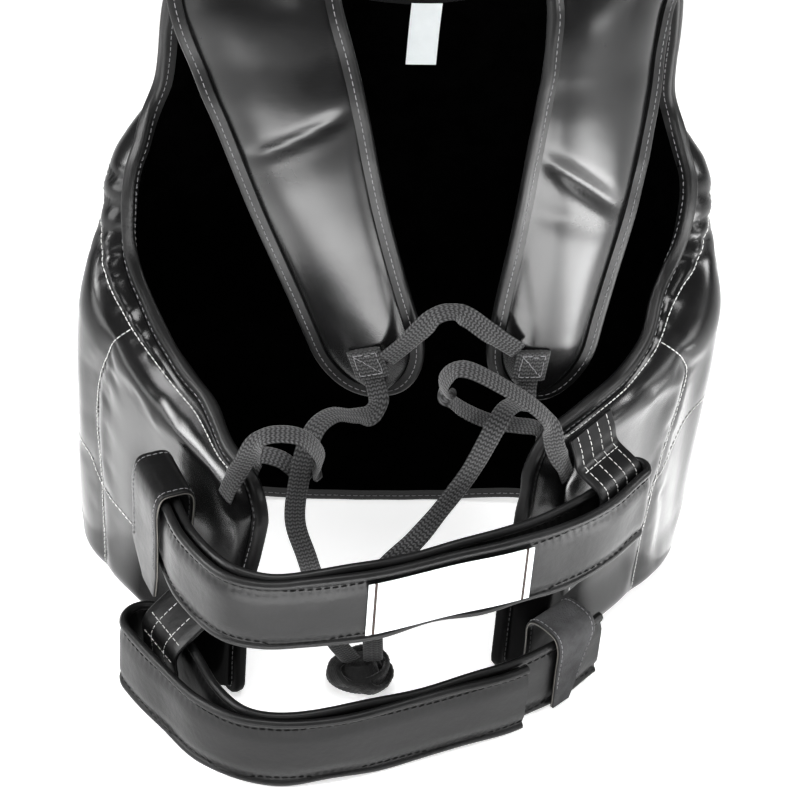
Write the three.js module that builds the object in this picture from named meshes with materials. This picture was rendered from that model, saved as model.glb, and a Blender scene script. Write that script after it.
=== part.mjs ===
import * as THREE from 'three';

// Sizes are millimetres. +Y points out of the chest, +X to the wearer's right, +Z up.
const seamGap = 0.3;

// The padded shell: one wall bent round the torso, open at the back.
const shell = {
  frontDepth: 27,
  wingDepth: 23,
  shoulderDepth: 13,
  rimDepth: 7,
  rollWidth: 30,
  hemRoll: 17,
  wingPadFrom: 150,
  wingPadRun: 60,
  shoulderPadFrom: 350,
  shoulderPadRun: 90,
  leanFrom: 330,
  shoulderTop: 466,
  shoulderLean: 26,
  hemRise: 6,
  hemFlat: 40,
  hemSettle: 180,
  wingFrom: 240,
  wingEndTop: 162,
  rightWingForward: 24,
  rightWingIn: 4,
};
const wingTilt = { from: 200, left: -4, right: 12 };

// The right side of the chest leans outwards with height, from the chest round to the armpit.
const rightLean = {
  out: 15,
  risesFrom: 60,
  risesTo: 400,
  chestFrom: 20,
  chestTo: 80,
  armpitFrom: 185,
  armpitTo: 225,
};
// The top edge of each wing rolls inwards over the torso, and the right armpit is fuller than the left.
const rimRoll = {
  from: 150,
  full: 178,
  width: 45,
  left: { reach: 11, fadeFrom: 285, fadeTo: 330 },
  right: { reach: 10.5, fadeFrom: 200, fadeTo: 245 },
};
const rightFullness = { out: 6, from: 150, full: 185, fadeFrom: 215, fadeTo: 262 };

// Low down, both wing ends stand a little further to the left.
const endLean = { left: 11, right: 6, from: 165, full: 70 };
const binding = { depth: 8.4, width: 7, chamfer: 2.2, gap: 0.8 };
const hemHeight = binding.width + binding.gap;

// Quilting: on each wing a seam drops from the top edge to the hem, given by distance round and height.
const quilting = {
  left: [[225, 206], [215, 179], [211, 138], [214, 104], [216, 74], [218, 37], [220, 8]],
  right: [[228, 209], [221, 196], [225, 170], [233, 141], [238, 109], [243, 73], [245, 36], [246, 8]],
  groove: 4,
  grooveWidth: 9,
  clearFrom: 8,
  clearTo: 24,
};

// Inner face of the shell, seen from above, from the centre front round to the wing end.
const torsoPlan = [
  { across: 0, forward: 98 },
  { across: 70, forward: 98 },
  { across: 122, forward: 91 },
  { across: 160, forward: 74 },
  { across: 177, forward: 47 },
  { across: 164, forward: 20 },
  { across: 137, forward: -16 },
  { across: 110, forward: -50 },
  { across: 85, forward: -84 },
];

// Top edge of the right half: distance round the torso, height, and where its column meets the hem.
const topEdge = [
  { along: 0, up: 424, foot: 0 },
  { along: 14, up: 425, foot: 14 },
  { along: 30, up: 428, foot: 28 },
  { along: 44, up: 435, foot: 40 },
  { along: 54, up: 448, foot: 49 },
  { along: 59, up: 461, foot: 57 },
  { along: 66, up: 466, foot: 66 },
  { along: 88, up: 466, foot: 78 },
  { along: 114, up: 466, foot: 92 },
  { along: 138, up: 466, foot: 106 },
  { along: 146, up: 461, foot: 116 },
  { along: 148, up: 445, foot: 124 },
  { along: 148, up: 412, foot: 132 },
  { along: 147, up: 382, foot: 139 },
  { along: 149, up: 360, foot: 146 },
  { along: 157, up: 343, foot: 155 },
  { along: 169, up: 331, foot: 166 },
  { along: 181, up: 320, foot: 176 },
  { along: 189, up: 303, foot: 186 },
  { along: 194, up: 282, foot: 195 },
  { along: 202, up: 261, foot: 204 },
  { along: 213, up: 245, foot: 215 },
  { along: 225, up: 234, foot: 227 },
  { along: 237, up: 224, foot: 238 },
  { along: 249, up: 215, foot: 250 },
  { along: 261, up: 208, foot: 261 },
  { along: 273, up: 203, foot: 273 },
  { along: 285, up: 200, foot: 285 },
  { along: 297, up: 197, foot: 297 },
  { along: 311, up: 193, foot: 311 },
  { along: 325, up: 189, foot: 325 },
  { along: 338, up: 186, foot: 338 },
  { along: 348, up: 182, foot: 348 },
  { along: 354, up: 174, foot: 355 },
];

// Rows of a column: distances up from the hem, shares of the middle, distances down from the top.
const columnRows = { fromHem: [0, 8, 26], middle: [0.33, 0.67], fromTop: [58, 30, 14, 5, 0] };

// Shoulder straps, from the front shoulder over the top and down the back.
const strap = {
  shoulderHalf: 43,
  endHalf: 29,
  tipLength: 40,
  tipShare: 0.955,
  tipPlump: 0.55,
  seamRun: 40,
  seamPlump: 0.35,
  taperFrom: 0.16,
  taperTo: 0.96,
  steps: 21,
  evenTo: 0.89,
  tipShares: [0.905, 0.935, 0.96, 0.98, 0.993, 1],
  creaseWidth: 11,
};
const strapSection = [
  { share: -1, inner: -2.4, outer: 2.4 },
  { share: -0.82, inner: -3.6, outer: 6.2 },
  { share: -0.35, inner: -4.6, outer: 10 },
  { share: 0.35, inner: -4.6, outer: 10 },
  { share: 0.82, inner: -3.6, outer: 6.2 },
  { share: 1, inner: -2.4, outer: 2.4 },
];
const strapBinding = { depth: 7, width: 6.6, chamfer: 1.9, gap: 0.6 };
const straps = {
  left: {
    tabShift: 0,
    route: [
      { across: -102, forward: 72, up: 474.4, turn: 0 },
      { across: -102, forward: 71.5, up: 480, turn: 0 },
      { across: -102, forward: 66, up: 490, turn: 0 },
      { across: -102, forward: 49, up: 499, turn: -2 },
      { across: -101, forward: 28, up: 490, turn: -5 },
      { across: -97, forward: 15, up: 466, turn: -8 },
      { across: -85, forward: 7, up: 430, turn: -10 },
      { across: -76, forward: 1, up: 404, turn: -10 },
      { across: -56, forward: -7, up: 338, turn: -10 },
      { across: -32, forward: -12, up: 268, turn: -10 },
      { across: -9, forward: -16, up: 204, turn: -10 },
    ],
    creases: [
      { at: 0.5, slant: -0.035, depth: 0.3 },
      { at: 0.7, slant: -0.02, depth: 0.14 },
    ],
  },
  right: {
    tabShift: -9,
    route: [
      { across: 116, forward: 72, up: 474.4, turn: 0 },
      { across: 116, forward: 71.5, up: 480, turn: 0 },
      { across: 116, forward: 66, up: 490, turn: 3 },
      { across: 115, forward: 49, up: 499, turn: 12 },
      { across: 113, forward: 28, up: 490, turn: 28 },
      { across: 111, forward: 15, up: 466, turn: 37 },
      { across: 109, forward: 7, up: 430, turn: 36 },
      { across: 107, forward: 1, up: 404, turn: 31 },
      { across: 101, forward: -7, up: 336, turn: 20 },
      { across: 92, forward: -12, up: 268, turn: 12 },
      { across: 85, forward: -16, up: 202, turn: 8 },
    ],
    creases: [
      { at: 0.56, slant: 0.07, depth: 0.45 },
      { at: 0.48, slant: -0.05, depth: 0.2 },
    ],
  },
};
const tab = { side: 22, depth: 3.2, fromEnd: 28, lift: 1.4, chamfer: 1 };

// Closing belts: a padded band turned back on itself round a sewn strip.
const belt = { height: 57, depth: 6.4, layerGap: 0.8, steps: 27, foldSteps: 5, chamfer: 2, riseFrom: 0.78 };
const upperBelt = {
  middle: 143.5,
  side: 1,
  tip: 0.05,
  foldFrom: 0.5,
  foldHalf: 7.7,
  foldRise: 6,
  line: [
    { across: -158, forward: -46 },
    { across: -146, forward: -76 },
    { across: -131, forward: -119 },
    { across: -109, forward: -147 },
    { across: -85, forward: -156 },
    { across: -60, forward: -155 },
    { across: -20, forward: -147 },
    { across: 30, forward: -129 },
    { across: 63, forward: -118 },
    { across: 97, forward: -103 },
    { across: 127, forward: -84 },
    { across: 149, forward: -61 },
  ],
};
const lowerBelt = {
  middle: 30.5,
  side: -1,
  tip: 0.19,
  foldFrom: 0.66,
  foldHalf: 15,
  foldRise: 0,
  line: [
    { across: 141, forward: -73 },
    { across: 111, forward: -99 },
    { across: 79, forward: -119 },
    { across: 44, forward: -133 },
    { across: 5, forward: -147 },
    { across: -40, forward: -161 },
    { across: -77, forward: -164 },
    { across: -98, forward: -159 },
    { across: -118, forward: -141 },
    { across: -136, forward: -112 },
    { across: -156, forward: -78 },
  ],
};
const beltPatch = { from: 0.505, to: 0.775, height: 43, depth: 0.8, chamfer: 0.2, steps: 10 };

// Leather strips sewn to the wings: two hold the turned belts, two fold over the belts' fixed ends.
const strip = { width: 42, depth: 2.8, chamfer: 0.7, bearing: [-0.55, -0.3, 0, 0.3, 0.55] };

const beltLoops = {
  right: { at: 0.957, lift: -0.1, sewn: [207, 197, 187], free: [177, 156, 136, 117], returns: [104, 92, 80] },
  left: { at: 0.95, lift: -0.3, sewn: [104, 92, 80], free: [58, 40, 22, 4], returns: [] },
};
const keepers = {
  left: {
    at: 0.07, lift: -1.6, sewn: [118, 145], layers: 2, slack: 2, crest: 2, hang: 92,
    breadth: 1, taperFrom: 0.75,
  },
  right: {
    at: 0.08, lift: -1.2, sewn: [24, 42], layers: 1, slack: 0.7, crest: 5, hang: 4,
    breadth: 0.82, taperFrom: 0,
  },
};
const flapShape = { turns: [45, 90, 135], drops: [0.05, 0.4, 0.75], tipScale: 0.45, tipShift: 0.2 };

// Flat braided lace.
const lace = { width: 13, depth: 2.4, chamfer: 0.8, pitch: 9.5 };
const towards = {
  back: [0, -1, 0],
  backUp: [0, -0.8, 0.6],
  up: [0, -0.25, 1],
  left: [-1, -0.4, 0.2],
  right: [1, -0.4, 0.2],
  rightWing: [0.81, -0.59, 0],
  leftWing: [-0.81, -0.59, 0],
};
const laceRoutes = {
  cross_lace: [
    { across: -10, forward: -30, up: 237, face: 'back' },
    { across: 0, forward: -32, up: 250, face: 'back' },
    { across: 10, forward: -34, up: 265, face: 'backUp' },
    { across: 19, forward: -34, up: 276, face: 'up' },
    { across: 28, forward: -32, up: 277, face: 'up' },
    { across: 38, forward: -31, up: 272, face: 'backUp' },
    { across: 50, forward: -31, up: 262, face: 'backUp' },
    { across: 61, forward: -30, up: 253, face: 'back' },
    { across: 71.7, forward: -28.9, up: 244.4, face: 'back' },
  ],
  long_lace_left: [
    { across: -16.7, forward: -26.5, up: 219.4, face: 'back' },
    { across: -15, forward: -27.5, up: 214, face: 'back' },
    { across: -13, forward: -33, up: 205, face: 'back' },
    { across: -18, forward: -40, up: 200, face: 'backUp' },
    { across: -29, forward: -48, up: 206, face: 'up' },
    { across: -43, forward: -60, up: 217, face: 'up' },
    { across: -54, forward: -74, up: 219, face: 'up' },
    { across: -60, forward: -84, up: 210, face: 'backUp' },
    { across: -63, forward: -88, up: 194, face: 'back' },
    { across: -65, forward: -92, up: 158, face: 'back' },
    { across: -57, forward: -97, up: 132, face: 'back' },
    { across: -46, forward: -99, up: 95, face: 'back' },
    { across: -36, forward: -96, up: 58, face: 'back' },
    { across: -23.5, forward: -87, up: 30.5, face: 'back' },
  ],
  long_lace_right: [
    { across: 79.9, forward: -27.9, up: 219.8, face: 'back' },
    { across: 79.5, forward: -28.6, up: 214.5, face: 'back' },
    { across: 79, forward: -34, up: 209, face: 'backUp' },
    { across: 76, forward: -43, up: 212, face: 'up' },
    { across: 69, forward: -53, up: 221, face: 'up' },
    { across: 62, forward: -63, up: 224, face: 'up' },
    { across: 56, forward: -72, up: 219, face: 'backUp' },
    { across: 42, forward: -84, up: 194, face: 'back' },
    { across: 25, forward: -93, up: 170, face: 'back' },
    { across: 8, forward: -103, up: 151, face: 'backUp' },
    { across: -10, forward: -109, up: 134, face: 'back' },
    { across: -16, forward: -106, up: 100, face: 'back' },
    { across: -12, forward: -99, up: 62, face: 'back' },
    { across: -9.5, forward: -87, up: 30.5, face: 'back' },
  ],
  lace_loop_left: [
    { across: -108.5, forward: -84.7, up: 171, face: 'leftWing' },
    { across: -105.5, forward: -86.5, up: 183, face: 'leftWing' },
    { across: -99, forward: -90, up: 202, face: 'back' },
    { across: -86, forward: -94, up: 229, face: 'up' },
    { across: -65, forward: -95, up: 230, face: 'up' },
    { across: -51, forward: -90, up: 207, face: 'right' },
    { across: -60, forward: -79, up: 184, face: 'up' },
    { across: -75, forward: -74, up: 193, face: 'up' },
    { across: -87, forward: -70, up: 192, face: 'up' },
    { across: -91.8, forward: -70, up: 182, face: 'leftWing' },
    { across: -92.9, forward: -70.5, up: 170, face: 'leftWing' },
  ],
  lace_loop_right: [
    { across: 104.6, forward: -71.2, up: 178, face: 'rightWing' },
    { across: 101, forward: -73.2, up: 189, face: 'rightWing' },
    { across: 94.3, forward: -75.6, up: 205, face: 'back' },
    { across: 87, forward: -75, up: 228, face: 'up' },
    { across: 56, forward: -76, up: 256, face: 'up' },
    { across: 31, forward: -74, up: 267, face: 'up' },
    { across: 22, forward: -68, up: 250, face: 'left' },
    { across: 31, forward: -62, up: 229, face: 'up' },
    { across: 53, forward: -58, up: 212, face: 'up' },
    { across: 73, forward: -53, up: 204, face: 'up' },
    { across: 86.5, forward: -48.5, up: 197, face: 'up' },
    { across: 91.6, forward: -49, up: 186, face: 'rightWing' },
  ],
};
const knot = { across: -17, forward: -83, halfWidth: 25, halfLength: 20, halfHeight: 15 };
const knotMesh = { around: 14, rings: 8 };
const sizeLabel = { along: 10, width: 19, length: 50, depth: 0.6, chamfer: 0.2, below: 1 };

const paints = {
  leather: { color: 0x17171a, roughness: 0.32, metalness: 0 },
  strapLeather: { color: 0x1b1b1e, roughness: 0.34, metalness: 0 },
  beltLeather: { color: 0x202023, roughness: 0.45, metalness: 0 },
  binding: { color: 0x141416, roughness: 0.5, metalness: 0 },
  lace: { color: 0x2c2c30, roughness: 0.85, metalness: 0 },
  label: { color: 0xeef1f2, roughness: 0.6, metalness: 0 },
};

function point(row) {
  return new THREE.Vector3(row.across, row.forward, row.up ?? 0);
}

function smooth(share) {
  const kept = THREE.MathUtils.clamp(share, 0, 1);
  return kept * kept * (3 - 2 * kept);
}

function bump(distance, width) {
  return Math.exp(-((distance / width) ** 2));
}

function splineThrough(points) {
  return new THREE.CatmullRomCurve3(points, false, 'centripetal');
}

// Skins a row of equal section loops, each cell split along its shorter diagonal. An open row is closed
// at both ends.
function loft(loops, joinsItself = false) {
  const size = loops[0].length;
  const points = loops.flat();
  const faces = [];
  const spans = joinsItself ? loops.length : loops.length - 1;
  for (let span = 0; span < spans; span++) {
    const near = span * size;
    const far = ((span + 1) % loops.length) * size;
    for (let side = 0; side < size; side++) {
      const next = (side + 1) % size;
      const [a, b, c, d] = [near + side, near + next, far + next, far + side];
      const rising = points[a].distanceTo(points[c]) <= points[b].distanceTo(points[d]);
      faces.push(...(rising ? [a, b, c, a, c, d] : [a, b, d, b, c, d]));
    }
  }
  if (!joinsItself) {
    const last = (loops.length - 1) * size;
    for (let low = 0; low < size / 2 - 1; low++) {
      const high = size - 1 - low;
      faces.push(low + 1, low, high, low + 1, high, high - 1);
      faces.push(last + low, last + low + 1, last + high);
      faces.push(last + low + 1, last + high - 1, last + high);
    }
  }
  return closedGeometry(points, faces);
}

// Turns the faces outwards and makes the geometry.
function closedGeometry(points, faces) {
  let volume = 0;
  for (let start = 0; start < faces.length; start += 3) {
    const [a, b, c] = faces.slice(start, start + 3).map((index) => points[index]);
    volume += a.dot(b.clone().cross(c));
  }
  if (volume < 0) {
    faces.reverse();
  }
  const geometry = new THREE.BufferGeometry().setFromPoints(points);
  geometry.setIndex(faces);
  geometry.computeVertexNormals();
  return geometry;
}

// An eight-sided bar section, as pairs of distances along a station's side and face.
function bar(width, depth, chamfer) {
  const w = width / 2;
  const d = depth / 2;
  const c = chamfer;
  return [
    [-w + c, -d], [w - c, -d], [w, -d + c], [w, d - c],
    [w - c, d], [-w + c, d], [-w, d - c], [-w, -d + c],
  ];
}

// A six-sided binding section: square towards the wall, rounded outside.
function hem(width, depth, chamfer) {
  const w = width / 2;
  const d = depth / 2;
  return [[-w, -d], [w - chamfer, -d], [w, -d + chamfer], [w, d - chamfer], [w - chamfer, d], [-w, d]];
}

// A station is a place on a path with the two directions of its section.
function sweep(stations, section, joinsItself = false) {
  const loops = stations.map(({ at, side, face, scale = 1 }) =>
    section.map(([p, q]) => at.clone().addScaledVector(side, p * scale).addScaledVector(face, q)));
  return loft(loops, joinsItself);
}

// The direction of a path at one of its points.
function heading(points, index, joinsItself = false) {
  const count = points.length;
  const before = joinsItself ? (index + count - 1) % count : Math.max(index - 1, 0);
  const after = joinsItself ? (index + 1) % count : Math.min(index + 1, count - 1);
  return points[after].clone().sub(points[before]).normalize();
}

// The shell's surfaces, in distance round the torso and height.
const mirrored = torsoPlan.slice(1).reverse().map((row) => ({ ...row, across: -row.across }));
const torsoCurve = splineThrough([...mirrored, ...torsoPlan].map(point));
torsoCurve.arcLengthDivisions = 800;
const halfGirth = torsoCurve.getLength() / 2;
const rightEdge = [...topEdge, { along: halfGirth, up: shell.wingEndTop, foot: halfGirth }];
const topSegments = segmentsOf(rightEdge.map((row) => [row.along, row.up]));
const seamSegments = { left: segmentsOf(quilting.left), right: segmentsOf(quilting.right) };

// A line on the flat pattern, and how far a place lies from it.
function segmentsOf(spots) {
  return spots.slice(1).map((spot, index) =>
    new THREE.Line3(new THREE.Vector3(...spots[index]), new THREE.Vector3(...spot)));
}

function distanceTo(segments, along, up) {
  const place = new THREE.Vector3(Math.abs(along), up, 0);
  const nearest = new THREE.Vector3();
  const distances = segments.map((segment) => {
    return segment.closestPointToPoint(place, true, nearest).distanceTo(place);
  });
  return Math.min(...distances);
}

function planAt(along) {
  const share = THREE.MathUtils.clamp(0.5 + along / (2 * halfGirth), 0, 1);
  const at = torsoCurve.getPointAt(share);
  const run = torsoCurve.getTangentAt(share);
  const wing = Math.max(0, along - shell.wingFrom) / (halfGirth - shell.wingFrom);
  at.y += shell.rightWingForward * wing * wing;
  at.x -= shell.rightWingIn * wing * wing;
  return { at, out: new THREE.Vector3(-run.y, run.x, 0) };
}

function ramp(value, from, to) {
  return smooth((value - from) / (to - from));
}

function sideLean(along, up) {
  const onChest = ramp(along, rightLean.chestFrom, rightLean.chestTo);
  const beforeWing = ramp(along, rightLean.armpitTo, rightLean.armpitFrom);
  return rightLean.out * onChest * beforeWing * ramp(up, rightLean.risesFrom, rightLean.risesTo);
}

function rimLean(along, up) {
  const round = Math.abs(along);
  const side = along > 0 ? rimRoll.right : rimRoll.left;
  const onWing = ramp(round, rimRoll.from, rimRoll.full) * ramp(round, side.fadeTo, side.fadeFrom);
  return side.reach * onWing * ramp(fromTopEdge(along, up), rimRoll.width, 0);
}

function wingLean(along, up) {
  const wing = Math.max(0, Math.abs(along) - shell.wingFrom) / (halfGirth - shell.wingFrom);
  const reach = along > 0 ? endLean.right : endLean.left;
  return reach * wing * wing * ramp(up, endLean.from, endLean.full);
}

function innerAt(along, up) {
  const { at, out } = planAt(along);
  const rise = Math.max(0, up - shell.leanFrom) / (shell.shoulderTop - shell.leanFrom);
  at.addScaledVector(out, -shell.shoulderLean * rise * rise - rimLean(along, up));
  at.x += sideLean(along, up) - wingLean(along, up);
  at.z = up;
  return { at, out };
}

// How far a place on the shell lies from the top edge, measured on the flat pattern.
function fromTopEdge(along, up) {
  return distanceTo(topSegments, along, up - wingLift(along));
}

function fullnessAt(along) {
  const { out, from, full, fadeFrom, fadeTo } = rightFullness;
  return out * ramp(along, from, full) * ramp(along, fadeTo, fadeFrom);
}

function padDepth(along, up) {
  const round = Math.abs(along);
  const fromTop = fromTopEdge(along, up);
  const fromHem = up - hemAt(along);
  const wing = smooth((round - shell.wingPadFrom) / shell.wingPadRun);
  const shoulder = smooth((up - shell.shoulderPadFrom) / shell.shoulderPadRun);
  const belly = THREE.MathUtils.lerp(shell.frontDepth, shell.wingDepth, wing);
  const plain = THREE.MathUtils.lerp(belly, shell.shoulderDepth, shoulder);
  const full = plain + rimLean(along, up) + fullnessAt(along);
  const fromEnd = halfGirth - round;
  const nearest = Math.min(fromTop / shell.rollWidth, fromHem / shell.hemRoll, fromEnd / shell.rollWidth);
  const edge = THREE.MathUtils.clamp(nearest, 0, 1);
  const crown = Math.sqrt(1 - (1 - edge) ** 2);
  const fromSeam = distanceTo(along > 0 ? seamSegments.right : seamSegments.left, along, up);
  const seam = bump(fromSeam, quilting.grooveWidth) * ramp(fromTop, quilting.clearFrom, quilting.clearTo);
  return shell.rimDepth + (full - shell.rimDepth) * crown - quilting.groove * seam * edge;
}

function hemAt(along) {
  const share = (Math.abs(along) - shell.hemFlat) / (shell.hemSettle - shell.hemFlat);
  return hemHeight + shell.hemRise * Math.sin(Math.PI * THREE.MathUtils.clamp(share, 0, 1)) ** 2;
}

function wingLift(along) {
  const tilt = along > 0 ? wingTilt.right : wingTilt.left;
  return tilt * ramp(Math.abs(along), wingTilt.from, halfGirth);
}

// One column of the shell: matching rows of inner and outer points.
function shellColumn({ along, up, foot }) {
  const low = hemAt(foot);
  const top = up + wingLift(along);
  const length = Math.hypot(top - low, along - foot);
  const first = columnRows.fromHem.at(-1);
  const last = length - columnRows.fromTop[0];
  const rows = [
    ...columnRows.fromHem,
    ...columnRows.middle.map((share) => THREE.MathUtils.lerp(first, last, share)),
    ...columnRows.fromTop.map((distance) => length - distance),
  ];
  const inner = [];
  const outer = [];
  const outs = [];
  for (const row of rows) {
    const here = THREE.MathUtils.lerp(foot, along, row / length);
    const height = THREE.MathUtils.lerp(low, top, row / length);
    const { at, out } = innerAt(here, height);
    const depth = padDepth(here, height);
    inner.push(at);
    outer.push(at.clone().addScaledVector(out, depth));
    outs.push(out);
  }
  return { inner, outer, outs };
}

const leftEdge = rightEdge.map((row) => ({ ...row, along: -row.along, foot: -row.foot })).reverse();
const columns = [...leftEdge.slice(0, -1), ...rightEdge].map(shellColumn);

function bodyShell() {
  return loft(columns.map(({ inner, outer }) => [...inner, ...outer.slice().reverse()]));
}

// The outer face of a wing, at a distance round the torso and a height.
function wingFace(along, up) {
  const { at, out } = innerAt(along, up);
  return { at: at.addScaledVector(out, padDepth(along, up)), out };
}

// The binding runs along the top edge, down the right end, back along the hem and up the left end.
function edgeBinding() {
  const lastRow = columns[0].inner.length - 1;
  const rim = (column, row) => ({
    at: column.inner[row].clone().lerp(column.outer[row], 0.5),
    out: column.outs[row],
  });
  const endRows = [...Array(lastRow - 1).keys()].map((row) => row + 1);
  const edges = [
    ...columns.map((column) => rim(column, lastRow)),
    ...endRows.slice().reverse().map((row) => rim(columns.at(-1), row)),
    ...columns.slice().reverse().map((column) => rim(column, 0)),
    ...endRows.map((row) => rim(columns[0], row)),
  ];
  const points = edges.map((edge) => edge.at);
  const stations = edges.map(({ at, out }, index) => {
    const side = heading(points, index, true).cross(out).normalize();
    const face = out.clone();
    const place = at.clone().addScaledVector(side, binding.width / 2 + binding.gap);
    return { at: place, side, face };
  });
  return sweep(stations, hem(binding.width, binding.depth, binding.chamfer), true);
}

// The frame of a strap at a share of its length: place, width direction and outward face.
function strapFrame({ route }, share) {
  const curve = splineThrough(route.map(point));
  const at = curve.getPointAt(share);
  const run = curve.getTangentAt(share);
  const row = curve.getUtoTmapping(share) * (route.length - 1);
  const [before, after] = [route[Math.floor(row)], route[Math.ceil(row)]];
  const twist = THREE.MathUtils.degToRad(THREE.MathUtils.lerp(before.turn, after.turn, row % 1));
  const side = new THREE.Vector3(Math.cos(twist), Math.sin(twist), 0);
  side.addScaledVector(run, -side.dot(run)).normalize();
  const face = run.clone().cross(side).normalize();
  const length = curve.getLength();
  const toEnd = Math.min(1, ((1 - share) * length) / strap.tipLength);
  const round = Math.sqrt(1 - strap.tipShare * (1 - toEnd) ** 2);
  const taper = ramp(share, strap.taperFrom, strap.taperTo);
  const half = THREE.MathUtils.lerp(strap.shoulderHalf, strap.endHalf, taper) * round;
  const fromSeam = Math.min(1, (share * length) / strap.seamRun);
  const tipPlump = THREE.MathUtils.lerp(strap.tipPlump, 1, toEnd);
  const plump = Math.min(tipPlump, THREE.MathUtils.lerp(strap.seamPlump, 1, fromSeam));
  return { at, run, side, face, half, length, plump };
}

function strapShares() {
  const even = [...Array(strap.steps).keys()].map((step) => (step / strap.steps) * strap.evenTo);
  return [...even, ...strap.tipShares];
}

function strapPad(which) {
  const length = strapFrame(which, 0).length;
  const loops = strapShares().map((share) => {
    const { at, side, face, half, plump } = strapFrame(which, share);
    const place = (across, out) => {
      return at.clone().addScaledVector(side, across * half).addScaledVector(face, out);
    };
    const dent = (across) => which.creases.reduce((kept, { at: middle, slant, depth }) =>
      kept * (1 - depth * bump((share - middle - slant * across) * length, strap.creaseWidth)), 1);
    const outer = strapSection.map((row) => place(row.share, row.outer * plump * dent(row.share)));
    const inner = strapSection.map((row) => place(row.share, row.inner * plump));
    return [...outer, ...inner.reverse()];
  });
  return loft(loops);
}

// The binding goes down one edge of a strap, round its end and up the other edge.
function strapEdge(which) {
  const frames = strapShares().map((share) => strapFrame(which, share));
  const edge = (sign) => ({ at, side, face, half }) => {
    return { at: at.clone().addScaledVector(side, sign * half), face };
  };
  const edges = [...frames.map(edge(-1)), ...frames.slice().reverse().map(edge(1))];
  const points = edges.map((row) => row.at);
  const stations = edges.map(({ at, face }, index) => {
    const side = heading(points, index).cross(face).normalize();
    const place = at.clone().addScaledVector(side, strapBinding.width / 2 + strapBinding.gap);
    return { at: place, side, face };
  });
  return sweep(stations, hem(strapBinding.width, strapBinding.depth, strapBinding.chamfer));
}

function strapTab(which) {
  const length = strapFrame(which, 0).length;
  const { at, run, side, face, plump } = strapFrame(which, 1 - tab.fromEnd / length);
  const crown = Math.max(...strapSection.map((row) => row.outer)) * plump;
  const place = at.clone().addScaledVector(face, crown + tab.lift + tab.depth / 2);
  place.addScaledVector(side, which.tabShift);
  const stations = [-tab.side / 2, tab.side / 2].map((step) =>
    ({ at: place.clone().addScaledVector(run, step), side, face }));
  return sweep(stations, bar(tab.side, tab.depth, tab.chamfer));
}

// A belt's middle line, its outward direction and half the distance between its two layers.
function beltFrame({ line, side, middle, foldFrom, foldHalf, foldRise }, share) {
  const curve = splineThrough(line.map(point));
  const at = curve.getPointAt(share);
  const run = curve.getTangentAt(share);
  const out = new THREE.Vector3(run.y * side, -run.x * side, 0);
  const flat = (belt.depth + belt.layerGap) / 2;
  const half = THREE.MathUtils.lerp(flat, foldHalf, ramp(share, foldFrom, 1));
  return { at, run, out, half, up: middle + foldRise * ramp(share, belt.riseFrom, 1) };
}

function beltStations(path) {
  const points = path.map((row) => row.at);
  return path.map(({ at, up }, index) => {
    const run = heading(points, index);
    const face = new THREE.Vector3(run.y, -run.x, 0);
    return { at: at.clone().setZ(up), side: new THREE.Vector3(0, 0, 1), face };
  });
}

function beltBand(which) {
  const inner = [];
  const outer = [];
  for (let step = 0; step <= belt.steps; step++) {
    const share = step / belt.steps;
    const { at, out, half, up } = beltFrame(which, share);
    inner.push({ at: at.clone().addScaledVector(out, -half), up });
    if (share >= which.tip) {
      outer.unshift({ at: at.clone().addScaledVector(out, half), up });
    }
  }
  const end = beltFrame(which, 1);
  const fold = [];
  for (let step = 1; step < belt.foldSteps; step++) {
    const turn = (Math.PI * step) / belt.foldSteps;
    const place = end.at.clone().addScaledVector(end.out, -end.half * Math.cos(turn));
    fold.push({ at: place.addScaledVector(end.run, end.half * Math.sin(turn)), up: end.up });
  }
  const path = [...inner, ...fold, ...outer];
  return sweep(beltStations(path), bar(belt.height, belt.depth, belt.chamfer));
}

// The white patch lies on the outer layer of the upper belt.
function beltLabel() {
  const path = [];
  for (let step = 0; step <= beltPatch.steps; step++) {
    const share = THREE.MathUtils.lerp(beltPatch.from, beltPatch.to, step / beltPatch.steps);
    const { at, out, half, up } = beltFrame(upperBelt, share);
    path.push({ at: at.addScaledVector(out, half + belt.depth / 2 + seamGap + beltPatch.depth / 2), up });
  }
  const stations = beltStations(path);
  return sweep(stations, bar(beltPatch.height, beltPatch.depth, beltPatch.chamfer));
}

// A strip that follows a profile of places in one upright plane.
function stripAlong(profile, side) {
  const points = profile.map((row) => row.at);
  const stations = profile.map(({ at, scale, shift = 0 }, index) => {
    const face = heading(points, index).cross(side).normalize();
    return { at: at.clone().addScaledVector(side, shift), side, face, scale };
  });
  return sweep(stations, bar(strip.width, strip.depth, strip.chamfer));
}

// The nearest place round the torso to a point of the plan, on the wing of that side.
function nearestAlong(place) {
  const wings = THREE.MathUtils.clamp(Math.sign(place.x), -1, 1);
  let nearest = shell.wingFrom;
  for (let along = shell.wingFrom; along < halfGirth - strip.width / 2; along += 1) {
    const here = planAt(along * wings).at.distanceTo(place);
    if (here < planAt(nearest * wings).at.distanceTo(place)) {
      nearest = along;
    }
  }
  return nearest * wings;
}

// How far a strip must stand off a belt's middle line to lie flat on the wing behind it.
function wingReach({ at, out }, along, up, lift) {
  const reaches = strip.bearing.map((share) => {
    const face = wingFace(along + share * strip.width, up);
    return face.at.addScaledVector(face.out, lift + strip.depth / 2).sub(at).dot(out);
  });
  return Math.max(...reaches);
}

// A strip sewn to the wing above a belt that passes down between the belt's two layers.
function beltLoop(which, { at, lift, sewn, free, returns }) {
  const frame = beltFrame(which, at);
  const along = nearestAlong(frame.at);
  const place = (reach, up) => ({ at: frame.at.clone().addScaledVector(frame.out, reach).setZ(up) });
  const onWing = (up) => place(wingReach(frame, along, up, lift), up);
  const profile = [...sewn.map(onWing), ...free.map((up) => place(0, up)), ...returns.map(onWing)];
  return stripAlong(profile, frame.run.clone());
}

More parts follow.
